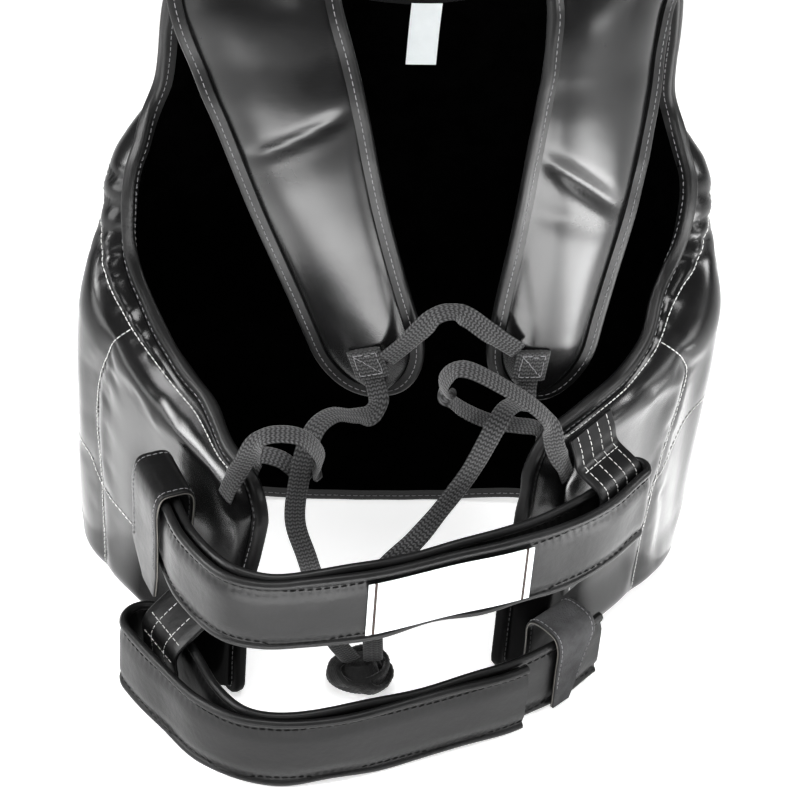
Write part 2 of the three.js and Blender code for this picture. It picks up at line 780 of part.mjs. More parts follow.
// A flap sewn to the wing behind a belt that folds over the belt's top edge and hangs in front of it.
function keeperFlap(which, { at, lift, sewn, layers, slack, crest, hang, breadth, taperFrom }) {
  const frame = beltFrame(which, at);
  const along = nearestAlong(frame.at);
  const beltTop = which.middle + belt.height / 2;
  const place = (reach, up) => frame.at.clone().addScaledVector(frame.out, reach).setZ(up);
  const onWing = (up) => ({ at: place(wingReach(frame, along, up, lift), up), scale: breadth });
  const profile = [...sewn, beltTop].map(onWing);
  const rear = wingReach(frame, along, beltTop, lift);
  const front = (layers - 1.5) * 2 * frame.half + belt.depth / 2 + slack + strip.depth / 2;
  const middle = (front + rear) / 2;
  const span = (front - rear) / 2;
  for (const turn of flapShape.turns) {
    const angle = THREE.MathUtils.degToRad(turn);
    const up = beltTop + slack + (strip.depth / 2 + crest) * Math.sin(angle);
    profile.push({ at: place(middle - span * Math.cos(angle), up), scale: breadth });
  }
  const drop = beltTop - hang;
  for (const share of [...flapShape.drops, 1]) {
    const narrow = Math.max(0, share - taperFrom) / (1 - taperFrom);
    profile.push({
      at: place(front, beltTop - drop * share),
      scale: breadth * THREE.MathUtils.lerp(1, flapShape.tipScale, narrow),
      shift: strip.width * flapShape.tipShift * narrow,
    });
  }
  return stripAlong(profile, frame.run.clone());
}

function flatLace(rows) {
  const curve = splineThrough(rows.map(point));
  const steps = Math.round(curve.getLength() / lace.pitch);
  const facing = splineThrough(rows.map((row) => new THREE.Vector3(...towards[row.face])));
  const stations = [];
  for (let step = 0; step <= steps; step++) {
    const at = curve.getPointAt(step / steps);
    const run = curve.getTangentAt(step / steps);
    const face = facing.getPoint(curve.getUtoTmapping(step / steps));
    face.addScaledVector(run, -face.dot(run)).normalize();
    stations.push({ at, side: run.clone().cross(face).normalize(), face });
  }
  return sweep(stations, bar(lace.width, lace.depth, lace.chamfer));
}

// The tied bundle that both long laces end in, resting on the ground.
function laceKnot() {
  const ball = new THREE.SphereGeometry(1, knotMesh.around, knotMesh.rings);
  ball.scale(knot.halfWidth, knot.halfLength, knot.halfHeight);
  ball.translate(knot.across, knot.forward, knot.halfHeight + seamGap);
  return ball;
}

function necklineLabel() {
  const lift = 2 * seamGap + sizeLabel.depth / 2;
  const top = topEdge[0].up - sizeLabel.below;
  const stations = [0, 0.5, 1].map((share) => {
    const up = top - sizeLabel.length * share;
    const { at, out } = innerAt(sizeLabel.along, up);
    return { at: at.addScaledVector(out, -lift), side: new THREE.Vector3(out.y, -out.x, 0), face: out };
  });
  return sweep(stations, bar(sizeLabel.width, sizeLabel.depth, sizeLabel.chamfer));
}

const materials = {};
for (const [name, paint] of Object.entries(paints)) {
  materials[name] = new THREE.MeshStandardMaterial(paint);
}

const protector = new THREE.Group();

function addPiece(name, geometry, paint) {
  const mesh = new THREE.Mesh(geometry, materials[paint]);
  mesh.name = name;
  protector.add(mesh);
}

addPiece('body_shell', bodyShell(), 'leather');
addPiece('edge_binding', edgeBinding(), 'binding');
for (const [side, which] of Object.entries(straps)) {
  addPiece(`shoulder_strap_${side}`, strapPad(which), 'strapLeather');
  addPiece(`strap_binding_${side}`, strapEdge(which), 'binding');
  addPiece(`strap_tab_${side}`, strapTab(which), 'lace');
}
addPiece('upper_belt', beltBand(upperBelt), 'beltLeather');
addPiece('lower_belt', beltBand(lowerBelt), 'beltLeather');
addPiece('belt_label', beltLabel(), 'label');
addPiece('belt_loop_right', beltLoop(upperBelt, beltLoops.right), 'leather');
addPiece('belt_loop_left', beltLoop(lowerBelt, beltLoops.left), 'leather');
addPiece('keeper_flap_left', keeperFlap(upperBelt, keepers.left), 'leather');
addPiece('keeper_flap_right', keeperFlap(lowerBelt, keepers.right), 'leather');
addPiece('size_label', necklineLabel(), 'label');

// The pieces above stand over the origin. The laces are laid in afterwards.
const footprint = new THREE.Box3().setFromObject(protector);
const centre = footprint.getCenter(new THREE.Vector3());
for (const [name, rows] of Object.entries(laceRoutes)) {
  addPiece(name, flatLace(rows), 'lace');
}
addPiece('lace_knot', laceKnot(), 'lace');
protector.position.set(-centre.x, -centre.y, -footprint.min.z);
protector.updateMatrixWorld(true);

export default protector;
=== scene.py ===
import math

import bpy
import numpy as np
from mathutils import Matrix, Vector
from mathutils.bvhtree import BVHTree


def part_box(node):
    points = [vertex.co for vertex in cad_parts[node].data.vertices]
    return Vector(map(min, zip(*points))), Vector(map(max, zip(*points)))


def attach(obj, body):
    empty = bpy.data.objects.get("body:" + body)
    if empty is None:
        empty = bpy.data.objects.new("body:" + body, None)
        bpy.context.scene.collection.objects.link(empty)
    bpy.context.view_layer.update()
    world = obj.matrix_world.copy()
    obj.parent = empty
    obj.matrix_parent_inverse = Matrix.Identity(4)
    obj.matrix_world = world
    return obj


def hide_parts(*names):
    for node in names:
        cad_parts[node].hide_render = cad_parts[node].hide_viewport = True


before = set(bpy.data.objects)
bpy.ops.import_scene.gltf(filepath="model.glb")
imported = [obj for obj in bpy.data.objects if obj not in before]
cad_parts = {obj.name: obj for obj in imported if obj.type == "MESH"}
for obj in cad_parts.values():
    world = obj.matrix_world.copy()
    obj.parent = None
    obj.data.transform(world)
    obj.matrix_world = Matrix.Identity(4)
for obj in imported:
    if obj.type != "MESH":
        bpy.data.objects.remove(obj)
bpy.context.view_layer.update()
print("frame loaded with", len(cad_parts), "solids")

mm = 0.001
knot = dict(across=-17, forward=-83, wide=25, long=20, high=15, base=0.3, bend=0.16, laceDepth=4,
            step=0.9)

# the sewing pattern below is in millimetres, and its zero stands a little off the frame's origin
knotLow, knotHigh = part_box("lace_knot")
knotCentre = (knotLow + knotHigh) / 2 / mm
patternShift = np.array([knotCentre.x - knot["across"], knotCentre.y - knot["forward"], 0])


def toFrame(points):
    return (np.asarray(points, float) + patternShift) * mm


# camera at the photo's angle, for a square image
view = dict(azimuth=-6, elevation=40, roll=4.5, distance=1800, aim=(0, 0, 200), lens=127.6, sensor=36,
            shiftX=0.005, shiftY=-0.0325)


def makeCamera():
    turn, rise, roll = (math.radians(view[key]) for key in ("azimuth", "elevation", "roll"))
    right = Vector((math.cos(turn), math.sin(turn), 0))
    back = Vector((math.sin(turn) * math.cos(rise), -math.cos(turn) * math.cos(rise), math.sin(rise)))
    up = back.cross(right)
    axes = (right * math.cos(roll) + up * math.sin(roll),
            up * math.cos(roll) - right * math.sin(roll), back)
    bpy.ops.object.camera_add()
    camera = bpy.context.object
    camera.name = "photoCamera"
    place = Vector(toFrame(view["aim"])) + back * view["distance"] * mm
    camera.matrix_world = Matrix.Translation(place) @ Matrix(axes).transposed().to_4x4()
    camera.data.lens = view["lens"]
    camera.data.sensor_width = view["sensor"]
    camera.data.shift_x = view["shiftX"]
    camera.data.shift_y = view["shiftY"]
    bpy.context.scene.camera = camera


makeCamera()


# small helpers for curves and surfaces
def unit(rows):
    return rows / np.maximum(np.linalg.norm(rows, axis=-1, keepdims=True), 1e-9)


def ramp(value, start, end):
    share = np.clip((value - start) / (end - start), 0, 1)
    return share * share * (3 - 2 * share)


def bump(distance, width):
    return np.exp(-(distance / width) ** 2)


def lerp(low, high, share):
    return low + (high - low) * share


def curveThrough(rows, fine=48):
    # a smooth line through the rows, even in speed however far apart they lie
    rows = np.asarray(rows, float)
    ends = np.vstack([2 * rows[0] - rows[1], rows, 2 * rows[-1] - rows[-2]])
    share = np.linspace(0, 1, fine, endpoint=False)[:, None]
    spans = []
    for start in range(len(rows) - 1):
        a, b, c, d = ends[start:start + 4]
        before, between, after = (max(np.linalg.norm(step), 1e-4) ** 0.5 for step in (b - a, c - b, d - c))
        leave = ((b - a) / before - (c - a) / (before + between) + (c - b) / between) * between
        reach = ((c - b) / between - (d - b) / (between + after) + (d - c) / after) * between
        cubic = 2 * (b - c) + leave + reach
        square = 3 * (c - b) - 2 * leave - reach
        spans.append(b + share * (leave + share * (square + share * cubic)))
    points = np.vstack(spans + [rows[-1:]])
    steps = np.linalg.norm(np.diff(points, axis=0), axis=1)
    length = np.concatenate([[0], np.cumsum(steps)])
    marks = np.linspace(0, len(rows) - 1, len(points))
    return dict(points=points, runs=unit(np.gradient(points, axis=0)), length=length, marks=marks)


def squareTo(rows, run):
    return unit(rows - run * np.einsum("ij,ij->i", rows, run)[:, None])


def blendColumns(at, marks, columns):
    return np.stack([np.interp(at, marks, column) for column in np.asarray(columns).T], -1)


def onCurve(curve, shares):
    at = np.asarray(shares, float) * curve["length"][-1]
    place = blendColumns(at, curve["length"], curve["points"])
    run = unit(blendColumns(at, curve["length"], curve["runs"]))
    return place, run, np.interp(at, curve["length"], curve["marks"])


def heading(points, closed=False):
    if closed:
        return unit(np.roll(points, -1, 0) - np.roll(points, 1, 0))
    return unit(np.gradient(points, axis=0))


def spaced(points, step, closed=False):
    # the same line with even steps
    points = np.vstack([points, points[:1]]) if closed else np.asarray(points)
    length = np.concatenate([[0], np.cumsum(np.linalg.norm(np.diff(points, axis=0), axis=1))])
    count = max(2, int(round(length[-1] / step)))
    at = np.linspace(0, length[-1], count + 1)[:count if closed else count + 1]
    return blendColumns(at, length, points), at


def ripple(at, wave, seed, waves=5):
    # an uneven wave along a line or over places, the same each run
    at = np.asarray(at, float)
    at = at[..., None] if at.ndim == 1 else at
    draw = np.random.default_rng(seed)
    total = 0
    for _ in range(waves):
        turn = unit(draw.normal(size=at.shape[-1])) * draw.uniform(0.6, 1.5) / wave
        total = total + np.sin(2 * np.pi * (at @ turn + draw.uniform()))
    return total / waves ** 0.5


def gridFaces(rows, columns, wrapRows=False, wrapColumns=False):
    row = np.arange(rows if wrapRows else rows - 1)
    column = np.arange(columns if wrapColumns else columns - 1)
    near, side = (axis.ravel() for axis in np.meshgrid(row, column, indexing="ij"))
    far, beside = (near + 1) % rows, (side + 1) % columns
    cells = [near * columns + side, near * columns + beside, far * columns + beside, far * columns + side]
    return np.stack(cells, 1)


def facedOut(points, faces):
    corners = points[faces[:, :3]]
    rest = points[faces[:, [0, 2, 3]]]
    volume = sum(np.einsum("ij,ij->", c[:, 0], np.cross(c[:, 1], c[:, 2])) for c in (corners, rest))
    return volume > 0


def choose(*pieces):
    # the pieces that the next operator works on
    bpy.ops.object.select_all(action="DESELECT")
    for piece in pieces:
        piece.select_set(True)
    bpy.context.view_layer.objects.active = pieces[0]


def makePiece(name, points, faces, paints, paintOf=None, caps=(), relief=None):
    points = np.asarray(points, float).reshape(-1, 3)
    if not facedOut(points, faces):
        faces = faces[:, ::-1]
        caps = [cap[::-1] for cap in caps]
    mesh = bpy.data.meshes.new(name)
    mesh.from_pydata(toFrame(points).tolist(), [], faces.tolist() + [list(map(int, cap)) for cap in caps])
    for paint in paints:
        mesh.materials.append(paint)
    if paintOf is not None:
        index = np.concatenate([paintOf, np.zeros(len(caps))]).astype(int)
        mesh.polygons.foreach_set("material_index", index)
    if relief is not None:
        mesh.attributes.new("relief", "FLOAT", "POINT").data.foreach_set("value", np.ravel(relief))
    mesh.update()
    piece = bpy.data.objects.new(name, mesh)
    bpy.context.collection.objects.link(piece)
    choose(piece)
    bpy.ops.object.shade_smooth_by_angle(angle=math.radians(50))
    return piece


def sewOn(piece, slot, *nodes):
    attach(piece, "root")
    if nodes:
        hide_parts(*nodes)
    return piece


def sweepPoints(at, side, face, profile):
    profile = np.broadcast_to(profile, (len(at),) + np.shape(profile)[-2:])
    return at[:, None] + side[:, None] * profile[..., :1] + face[:, None] * profile[..., 1:]


def sweep(name, at, side, face, profile, paints, closed=False, facePaint=None, relief=None):
    # a section carried along a line; facePaint gives the paint of each face, for one turn or for all
    loops = sweepPoints(at, side, face, profile)
    rows, columns = loops.shape[:2]
    faces = gridFaces(rows, columns, closed, True)
    paintOf = None if facePaint is None else np.resize(facePaint, len(faces))
    ends = np.arange(columns)
    caps = [] if closed else [ends[::-1], ends + (rows - 1) * columns]
    return makePiece(name, loops, faces, paints, paintOf, caps, relief)


def roundedBar(width, depth, corner, cornerSteps=4, flatSteps=1):
    # a bar's section with round corners, from the lower left corner round
    signs = np.array([(-1, -1), (1, -1), (1, 1), (-1, 1)])
    turns = np.pi + np.pi / 2 * (np.arange(4)[:, None] + np.linspace(0, 1, cornerSteps + 1))
    middles = signs * (np.array([width, depth]) / 2 - corner)
    arcs = middles[:, None] + corner * np.stack([np.cos(turns), np.sin(turns)], -1)
    ring = []
    for arc, after in zip(arcs, np.roll(arcs, -1, 0)):
        ring.extend(arc)
        ring.extend(lerp(arc[-1], after[0], step / flatSteps) for step in range(1, flatSteps))
    return np.array(ring)


coverCloth = dict(quality=6, mass=0.25, tension_stiffness=12, compression_stiffness=12, shear_stiffness=6,
                  bending_stiffness=4, air_damping=4, vertex_group_mass="held", use_pressure=True)


def puffed(points, faces, held, pressure, growth, most, frames=20):
    # cloth held at its seams and blown up a little, moved no further than most
    mesh = bpy.data.meshes.new("padCloth")
    mesh.from_pydata((np.asarray(points) * mm).tolist(), [], faces.tolist())
    mesh.update()
    cover = bpy.data.objects.new("padCloth", mesh)
    bpy.context.collection.objects.link(cover)
    group = cover.vertex_groups.new(name="held")
    levels = np.round(held, 2)
    for level in np.unique(levels[levels > 0]):
        group.add(np.flatnonzero(levels == level).tolist(), float(level), "REPLACE")
    cloth = cover.modifiers.new("cloth", "CLOTH")
    for name, value in coverCloth.items():
        setattr(cloth.settings, name, value)
    cloth.settings.uniform_pressure_force = pressure
    cloth.settings.shrink_min = -growth
    cloth.settings.effector_weights.gravity = 0
    cloth.collision_settings.use_self_collision = False
    cloth.point_cache.frame_end = frames
    for step in range(1, frames + 1):
        bpy.context.scene.frame_set(step)
    choose(cover)
    bpy.ops.object.modifier_apply(modifier="cloth")
    blown = np.empty(len(mesh.vertices) * 3)
    cover.data.vertices.foreach_get("co", blown)
    moved = blown.reshape(-1, 3) / mm - points
    far = np.maximum(np.linalg.norm(moved, axis=1, keepdims=True), 1e-9)
    bpy.data.objects.remove(cover)
    bpy.context.scene.frame_set(1)
    print(f"cloth moved {far.mean():.2f} mm on average, {far.max():.1f} at most")
    return points + moved * most * np.tanh(far / most) / far


def doubled(grid, axis):
    # a grid of places with a smooth new row between each two
    grid = np.moveaxis(grid, axis, 0)
    wide = np.concatenate([2 * grid[:1] - grid[1:2], grid, 2 * grid[-1:] - grid[-2:-1]])
    middle = (9 * (wide[1:-2] + wide[2:-1]) - wide[:-3] - wide[3:]) / 16
    out = np.empty((2 * len(grid) - 1,) + grid.shape[1:])
    out[::2] = grid
    out[1::2] = middle
    return np.moveaxis(out, 0, axis)


def surfaceOf(piece):
    return BVHTree.FromObject(piece, bpy.context.evaluated_depsgraph_get())


def layOn(tree, points):
    # the nearest places on a finished surface and the way it faces there
    found = [tree.find_nearest(Vector(place)) for place in toFrame(points)]
    places = np.array([hit[0] for hit in found]) / mm - patternShift
    return places, np.array([hit[1] for hit in found])


# materials
def newPaint(name):
    paint = bpy.data.materials.new(name)
    paint.use_nodes = True
    return paint, paint.node_tree, paint.node_tree.nodes["Principled BSDF"]


def setSockets(node, **values):
    for name, value in values.items():
        node.inputs[name.replace("_", " ")].default_value = value
    return node


def addNode(tree, kind, **values):
    return setSockets(tree.nodes.new("ShaderNode" + kind), **values)


def wire(tree, *rows):
    # rows of (node, its output, next node, its input)
    for source, output, target, entry in rows:
        tree.links.new(source.outputs[output], target.inputs[entry])


def shadeRamp(tree, low, high, start=0.3, end=0.7):
    node = addNode(tree, "ValToRGB")
    for element, position, tone in zip(node.color_ramp.elements, (start, end), (low, high)):
        element.position = position
        element.color = (*tone, 1)
    return node


def reliefNode(tree):
    node = addNode(tree, "Attribute")
    node.attribute_name = "relief"
    return node


def leatherPaint(name, dark, light, gloss, dentDepth=0.25, sheen=0.5, shadeSheenRange=None):
    # the last argument gives the specular range for the piece's relief attribute, a mask of painted shade:
    # the leather reflects less where the mask is low
    paint, tree, shader = newPaint(name)
    place = addNode(tree, "TexCoord")
    cloud = addNode(tree, "TexNoise", Scale=26, Detail=5, Roughness=0.6)
    cells = addNode(tree, "TexVoronoi", Scale=1500)
    dents = addNode(tree, "TexNoise", Scale=140, Detail=3, Roughness=0.5)
    tint = shadeRamp(tree, dark, light)
    wear = addNode(tree, "MapRange", From_Min=0.3, From_Max=0.7, To_Min=gloss[0], To_Max=gloss[1])
    soft = addNode(tree, "Bump", Strength=dentDepth, Distance=0.0012)
    fine = addNode(tree, "Bump", Strength=0.16, Distance=0.0002)
    setSockets(shader, Specular_IOR_Level=sheen)
    wire(tree, *((place, "Object", texture, "Vector") for texture in (cloud, cells, dents)),
         (cloud, "Fac", tint, "Fac"), (tint, "Color", shader, "Base Color"),
         (cloud, "Fac", wear, "Value"), (wear, "Result", shader, "Roughness"),
         (dents, "Fac", soft, "Height"), (cells, "Distance", fine, "Height"),
         (soft, "Normal", fine, "Normal"), (fine, "Normal", shader, "Normal"))
    if shadeSheenRange:
        level = addNode(tree, "MapRange", To_Min=shadeSheenRange[0], To_Max=shadeSheenRange[1])
        wire(tree, (reliefNode(tree), "Fac", level, "Value"),
             (level, "Result", shader, "Specular IOR Level"))
    return paint


def clothPaint(name, dark, light, weave, roughness=0.9, specular=0.2, depth=0.5):
    paint, tree, shader = newPaint(name)
    place = addNode(tree, "TexCoord")
    cloud = addNode(tree, "TexNoise", Scale=60, Detail=6, Roughness=0.65)
    threads = addNode(tree, "TexVoronoi", Scale=weave)
    tint = shadeRamp(tree, dark, light)
    relief = addNode(tree, "Bump", Strength=depth, Distance=0.0003)
    setSockets(shader, Roughness=roughness, Specular_IOR_Level=specular)
    wire(tree, (place, "Object", cloud, "Vector"), (place, "Object", threads, "Vector"),
         (cloud, "Fac", tint, "Fac"), (tint, "Color", shader, "Base Color"),
         (threads, "Distance", relief, "Height"), (relief, "Normal", shader, "Normal"))
    return paint


def braidPaint(name, low, high):
    # painted shade: the gaps between the yarns are painted darker than the yarn tops, from the yarn height
    # in the relief attribute
    paint, tree, shader = newPaint(name)
    fuzz = addNode(tree, "TexNoise", Scale=2600, Detail=4, Roughness=0.7)
    tint = shadeRamp(tree, low, high, 0.3, 1)
    relief = addNode(tree, "Bump", Strength=0.5, Distance=0.0002)
    setSockets(shader, Roughness=0.75, Specular_IOR_Level=0.3, Sheen_Weight=0.25, Sheen_Roughness=0.5)
    wire(tree, (addNode(tree, "TexCoord"), "Object", fuzz, "Vector"),
         (reliefNode(tree), "Fac", tint, "Fac"), (tint, "Color", shader, "Base Color"),
         (fuzz, "Fac", relief, "Height"), (relief, "Normal", shader, "Normal"))
    return paint


def grey(value):
    return (value, value, value * 1.03)


# the shell's leather takes painted shade from its relief attribute, as less reflection low at the wings'
# ends
shellLeather = leatherPaint("shellLeather", grey(0.003), grey(0.006), (0.18, 0.26), dentDepth=0.05,
                            shadeSheenRange=(0.03, 0.5))
strapLeather = leatherPaint("strapLeather", grey(0.004), grey(0.008), (0.2, 0.28), dentDepth=0.03)
beltLeather = leatherPaint("beltLeather", grey(0.004), grey(0.008), (0.34, 0.44), sheen=0.26)
bindingLeather = leatherPaint("bindingLeather", grey(0.003), grey(0.006), (0.36, 0.46), dentDepth=0.2,
                              shadeSheenRange=(0.02, 0.34))
stripLeather = leatherPaint("stripLeather", grey(0.003), grey(0.006), (0.34, 0.44), sheen=0.22)
liningCloth = clothPaint("liningCloth", grey(0.0003), grey(0.0008), 1500, specular=0)
rawEdge = clothPaint("rawEdge", (0.12, 0.115, 0.105), (0.24, 0.23, 0.21), 1800)
whiteThread = clothPaint("whiteThread", (0.55, 0.55, 0.54), (0.72, 0.72, 0.71), 4000, 0.7)
greyThread = clothPaint("greyThread", grey(0.16), grey(0.26), 4000, 0.7)
darkThread = clothPaint("darkThread", grey(0.002), grey(0.005), 4000, 0.7)
labelCloth = clothPaint("labelCloth", (0.76, 0.8, 0.81), (0.82, 0.86, 0.87), 3000, 0.6, depth=0.25)
labelLine = clothPaint("labelLine", (0.03, 0.018, 0.015), (0.05, 0.035, 0.03), 3000, 0.7)
pileCloth = clothPaint("pileCloth", grey(0.03), grey(0.07), 900, depth=1)
braidCharcoal = braidPaint("braidCharcoal", grey(0.001), grey(0.072))
# painted shade: a near-black copy of the charcoal lace, for the knot lying in shade at the floor
shadedBraidCharcoal = braidPaint("shadedBraidCharcoal", grey(0.0006), grey(0.003))
print("materials made")


# flat braided laces, laid along the routes that the solids hold
lace = dict(width=13, depth=2.4, step=0.64, routeStep=1.5, ribWidth=1.62, rise=0.55, level=0.6, pitch=2.8,
            slant=0.5, across=4, edge=0.45, thinnest=0.2, yarnRound=0.6, valleyShare=0.8)
towards = dict(back=(0, -1, 0), backUp=(0, -0.8, 0.6), up=(0, -0.25, 1), left=(-1, -0.4, 0.2),
               right=(1, -0.4, 0.2), rightWing=(0.81, -0.59, 0), leftWing=(-0.81, -0.59, 0))
laceRoutes = dict(
    cross_lace=[
        (-10, -30, 237, "back"), (0, -32, 250, "back"), (10, -34, 265, "backUp"), (19, -34, 276, "up"),
        (28, -32, 277, "up"), (38, -31, 272, "backUp"), (50, -31, 262, "backUp"), (61, -30, 253, "back"),
        (71.7, -28.9, 244.4, "back"),
    ],
    long_lace_left=[
        (-16.7, -26.5, 219.4, "back"), (-15, -27.5, 214, "back"), (-13, -33, 205, "back"),
        (-18, -40, 200, "backUp"), (-29, -48, 206, "up"), (-43, -60, 217, "up"), (-54, -74, 219, "up"),
        (-60, -84, 210, "backUp"), (-63, -88, 194, "back"), (-65, -92, 158, "back"),
        (-57, -97, 132, "back"), (-46, -99, 95, "back"), (-36, -96, 58, "back"), (-23.5, -87, 30.5, "back"),
    ],
    long_lace_right=[
        (79.9, -27.9, 219.8, "back"), (79.5, -28.6, 214.5, "back"), (79, -34, 209, "backUp"),
        (76, -43, 212, "up"), (69, -53, 221, "up"), (62, -63, 224, "up"), (56, -72, 219, "backUp"),
        (42, -84, 194, "back"), (25, -93, 170, "back"), (8, -103, 151, "backUp"), (-10, -109, 134, "back"),
        (-16, -106, 100, "back"), (-12, -99, 62, "back"), (-9.5, -87, 30.5, "back"),
    ],
    lace_loop_left=[
        (-108.5, -84.7, 171, "leftWing"), (-105.5, -86.5, 183, "leftWing"), (-99, -90, 202, "back"),
        (-86, -94, 229, "up"), (-65, -95, 230, "up"), (-51, -90, 207, "right"), (-60, -79, 184, "up"),
        (-75, -74, 193, "up"), (-87, -70, 192, "up"), (-91.8, -70, 182, "leftWing"),
        (-92.9, -70.5, 170, "leftWing"),
    ],
    lace_loop_right=[
        (104.6, -71.2, 178, "rightWing"), (101, -73.2, 189, "rightWing"), (94.3, -75.6, 205, "back"),
        (87, -75, 228, "up"), (56, -76, 256, "up"), (31, -74, 267, "up"), (22, -68, 250, "left"),
        (31, -62, 229, "up"), (53, -58, 212, "up"), (73, -53, 204, "up"), (86.5, -48.5, 197, "up"),
        (91.6, -49, 186, "rightWing"),
    ],
)


def braidSection(width, depth):
    # places round the flat section, with their distance across the braid
    steps = round(width / lace["ribWidth"]) * lace["across"]
    across = np.linspace(-1, 1, steps + 1) * (width / 2 - lace["edge"])
    thick = depth / 2 * np.clip(1 - (np.abs(across) / (width / 2)) ** 6, lace["thinnest"], 1)
    front = np.stack([across, thick], 1)
    back = np.stack([across[::-1], -thick], 1)
    return np.vstack([front, [[width / 2, 0]], back, [[-width / 2, 0]]])


def braidHeight(across, along, width):
    # slanting yarns that change direction from rib to rib
    rib = (across / width + 0.5) * round(width / lace["ribWidth"])
    inRib = rib - np.floor(rib)
    slant = np.where(np.floor(rib) % 2 == 0, inRib, 1 - inRib)
    yarn = 0.5 + 0.5 * np.cos(2 * np.pi * (along / lace["pitch"] + lace["slant"] * slant))
    valley = 1 - np.abs(2 * inRib - 1) ** 4
    return yarn ** lace["yarnRound"] * lerp(1, valley, lace["valleyShare"])


def braid(name, points, face, paint, width=lace["width"], depth=lace["depth"], step=lace["step"],
          closed=False):
    at, along = spaced(points, step, closed)
    marks = np.linspace(0, 1, len(points) + (1 if closed else 0))
    shares = np.linspace(0, 1, len(at), endpoint=not closed)
    face = blendColumns(shares, marks, np.vstack([face, face[:1]]) if closed else face)
    run = heading(at, closed)
    face = squareTo(face, run)
    section = braidSection(width, depth)
    height = braidHeight(section[:, 0], along[:, None], width)
    profile = np.repeat(section[None], len(at), 0)
    profile[..., 1] += np.sign(section[:, 1]) * lace["rise"] * (height - lace["level"])
    # the yarn height also goes on as the relief attribute, which paints shade in the gaps
    return sweep(name, at, np.cross(run, face), face, profile, [paint], closed, relief=height)


def makeLaces():
    cords = {}
    for name, rows in laceRoutes.items():
        curve = curveThrough([row[:3] for row in rows])
        facing = curveThrough([towards[row[3]] for row in rows])
        shares = np.linspace(0, 1, int(curve["length"][-1] / lace["routeStep"]))
        place, _, marks = onCurve(curve, shares)
        face = blendColumns(marks, facing["marks"], facing["points"])
        ribbon = braid(name.replace("_", ".") + ".braid", place, face, braidCharcoal)
        sewOn(ribbon, "lace", name)
        cords[name] = dict(piece=ribbon, path=toFrame(place), length=curve["length"][-1] * mm)
    return cords


laces = makeLaces()
print("laces laid:", {name: round(row["length"], 3) for name, row in laces.items()})


# the tied bundle at the floor: lace wound over itself, painted near-black as its shade
knotTurns = [
    dict(tilt=(20, 10, 0), wide=0.8, high=0.62, offset=(0, 0, -1)),
    dict(tilt=(75, 20, 40), wide=0.72, high=0.55, offset=(-4, 1, 1)),
    dict(tilt=(60, -30, 110), wide=0.7, high=0.5, offset=(5, -1, 1)),
    dict(tilt=(8, -25, 70), wide=0.66, high=0.6, offset=(2, 2, 3)),
    dict(tilt=(15, 5, 20), wide=0.4, high=0.36, offset=(-1, 0, 2)),
    dict(tilt=(80, 10, 85), wide=0.5, high=0.6, offset=(1, 0, 0)),
    dict(tilt=(35, 40, 150), wide=0.55, high=0.42, offset=(-3, -2, 2)),
]


def makeKnot():
    centre = np.array([knot["across"], knot["forward"], knot["high"] + knot["base"]])
    reach = np.array([knot["wide"], knot["long"], knot["high"]])
    turns = np.linspace(0, 2 * np.pi, 60, endpoint=False)
    pieces = []
    for index, row in enumerate(knotTurns):
        bend = knot["bend"] * np.sin(2 * turns)
        ring = np.stack([np.cos(turns) * row["wide"], np.sin(turns) * row["high"], bend], 1)
        tilt = np.eye(3)
        for axis, angle in zip("XYZ", row["tilt"]):
            tilt = np.array(Matrix.Rotation(math.radians(angle), 3, axis)) @ tilt
        ring = ring @ tilt.T
        place = centre + ring * reach + np.array(row["offset"])
        pieces.append(braid(f"knotTurn{index}", place, unit(ring), shadedBraidCharcoal, depth=knot["laceDepth"],
                            step=knot["step"], closed=True))
    choose(*pieces)
    bpy.ops.object.join()
    pieces[0].name = "lace.knot.turns"
    return sewOn(pieces[0], "lace", "lace_knot")


knotPiece = makeKnot()


# sewing thread: many short bars joined into one mesh
thread = dict(sides=5, shares=(0, 0.16, 0.5, 0.84, 1), lifts=(-0.7, 0.45, 0.75, 0.45, -0.7),
              girths=(0.6, 0.95, 1, 0.95, 0.6))


def stitchBars(name, rows, radius, paint):
    # rows of (starts, ends, normals)
    start, end, normal = (np.vstack([row[part] for row in rows]) for part in range(3))
    run = unit(end - start)
    side = unit(np.cross(run, normal))
    out = np.cross(side, run)
    turns = np.linspace(0, 2 * np.pi, thread["sides"], endpoint=False)
    rings = []
    for share, lift, girth in zip(thread["shares"], thread["lifts"], thread["girths"]):
        middle = lerp(start, end, share) + normal * lift * radius
        wheel = np.cos(turns)[:, None] * side[:, None] + np.sin(turns)[:, None] * out[:, None]
        rings.append(middle[:, None] + wheel * radius * girth)
    points = np.stack(rings, 1)
    count, ringCount, sides = points.shape[:3]
    cell = gridFaces(ringCount, sides, False, True)
    offsets = np.arange(count) * ringCount * sides
    faces = (cell[None] + offsets[:, None, None]).reshape(-1, 4)
    ring = np.arange(sides)
    caps = [ring[::-1] + offset for offset in offsets]
    caps += [ring + (ringCount - 1) * sides + offset for offset in offsets]
    return makePiece(name, points, faces, [paint], caps=caps)


def stitchRow(tree, points, length, gap, closed=False):
    # stitches of even length along a line laid on a surface
    points, _ = spaced(points, 1.0, closed)
    at = np.concatenate([[0], np.cumsum(np.linalg.norm(np.diff(points, axis=0), axis=1))])
    count = int(at[-1] // (length + gap))
    starts = np.arange(count) * at[-1] / count
    spots = np.concatenate([starts, starts + at[-1] / count - gap])
    places, normals = layOn(tree, blendColumns(spots, at, points))
    return places[:count], places[count:], unit(normals[:count] + normals[count:])


def sewLines(name, piece, lines, kit, paint, slot, closed=False):
    tree = surfaceOf(piece)
    rows = [stitchRow(tree, line, kit["stitchLength"], kit["stitchGap"], closed) for line in lines]
    sewOn(stitchBars(name, rows, kit["threadRadius"], paint), slot)


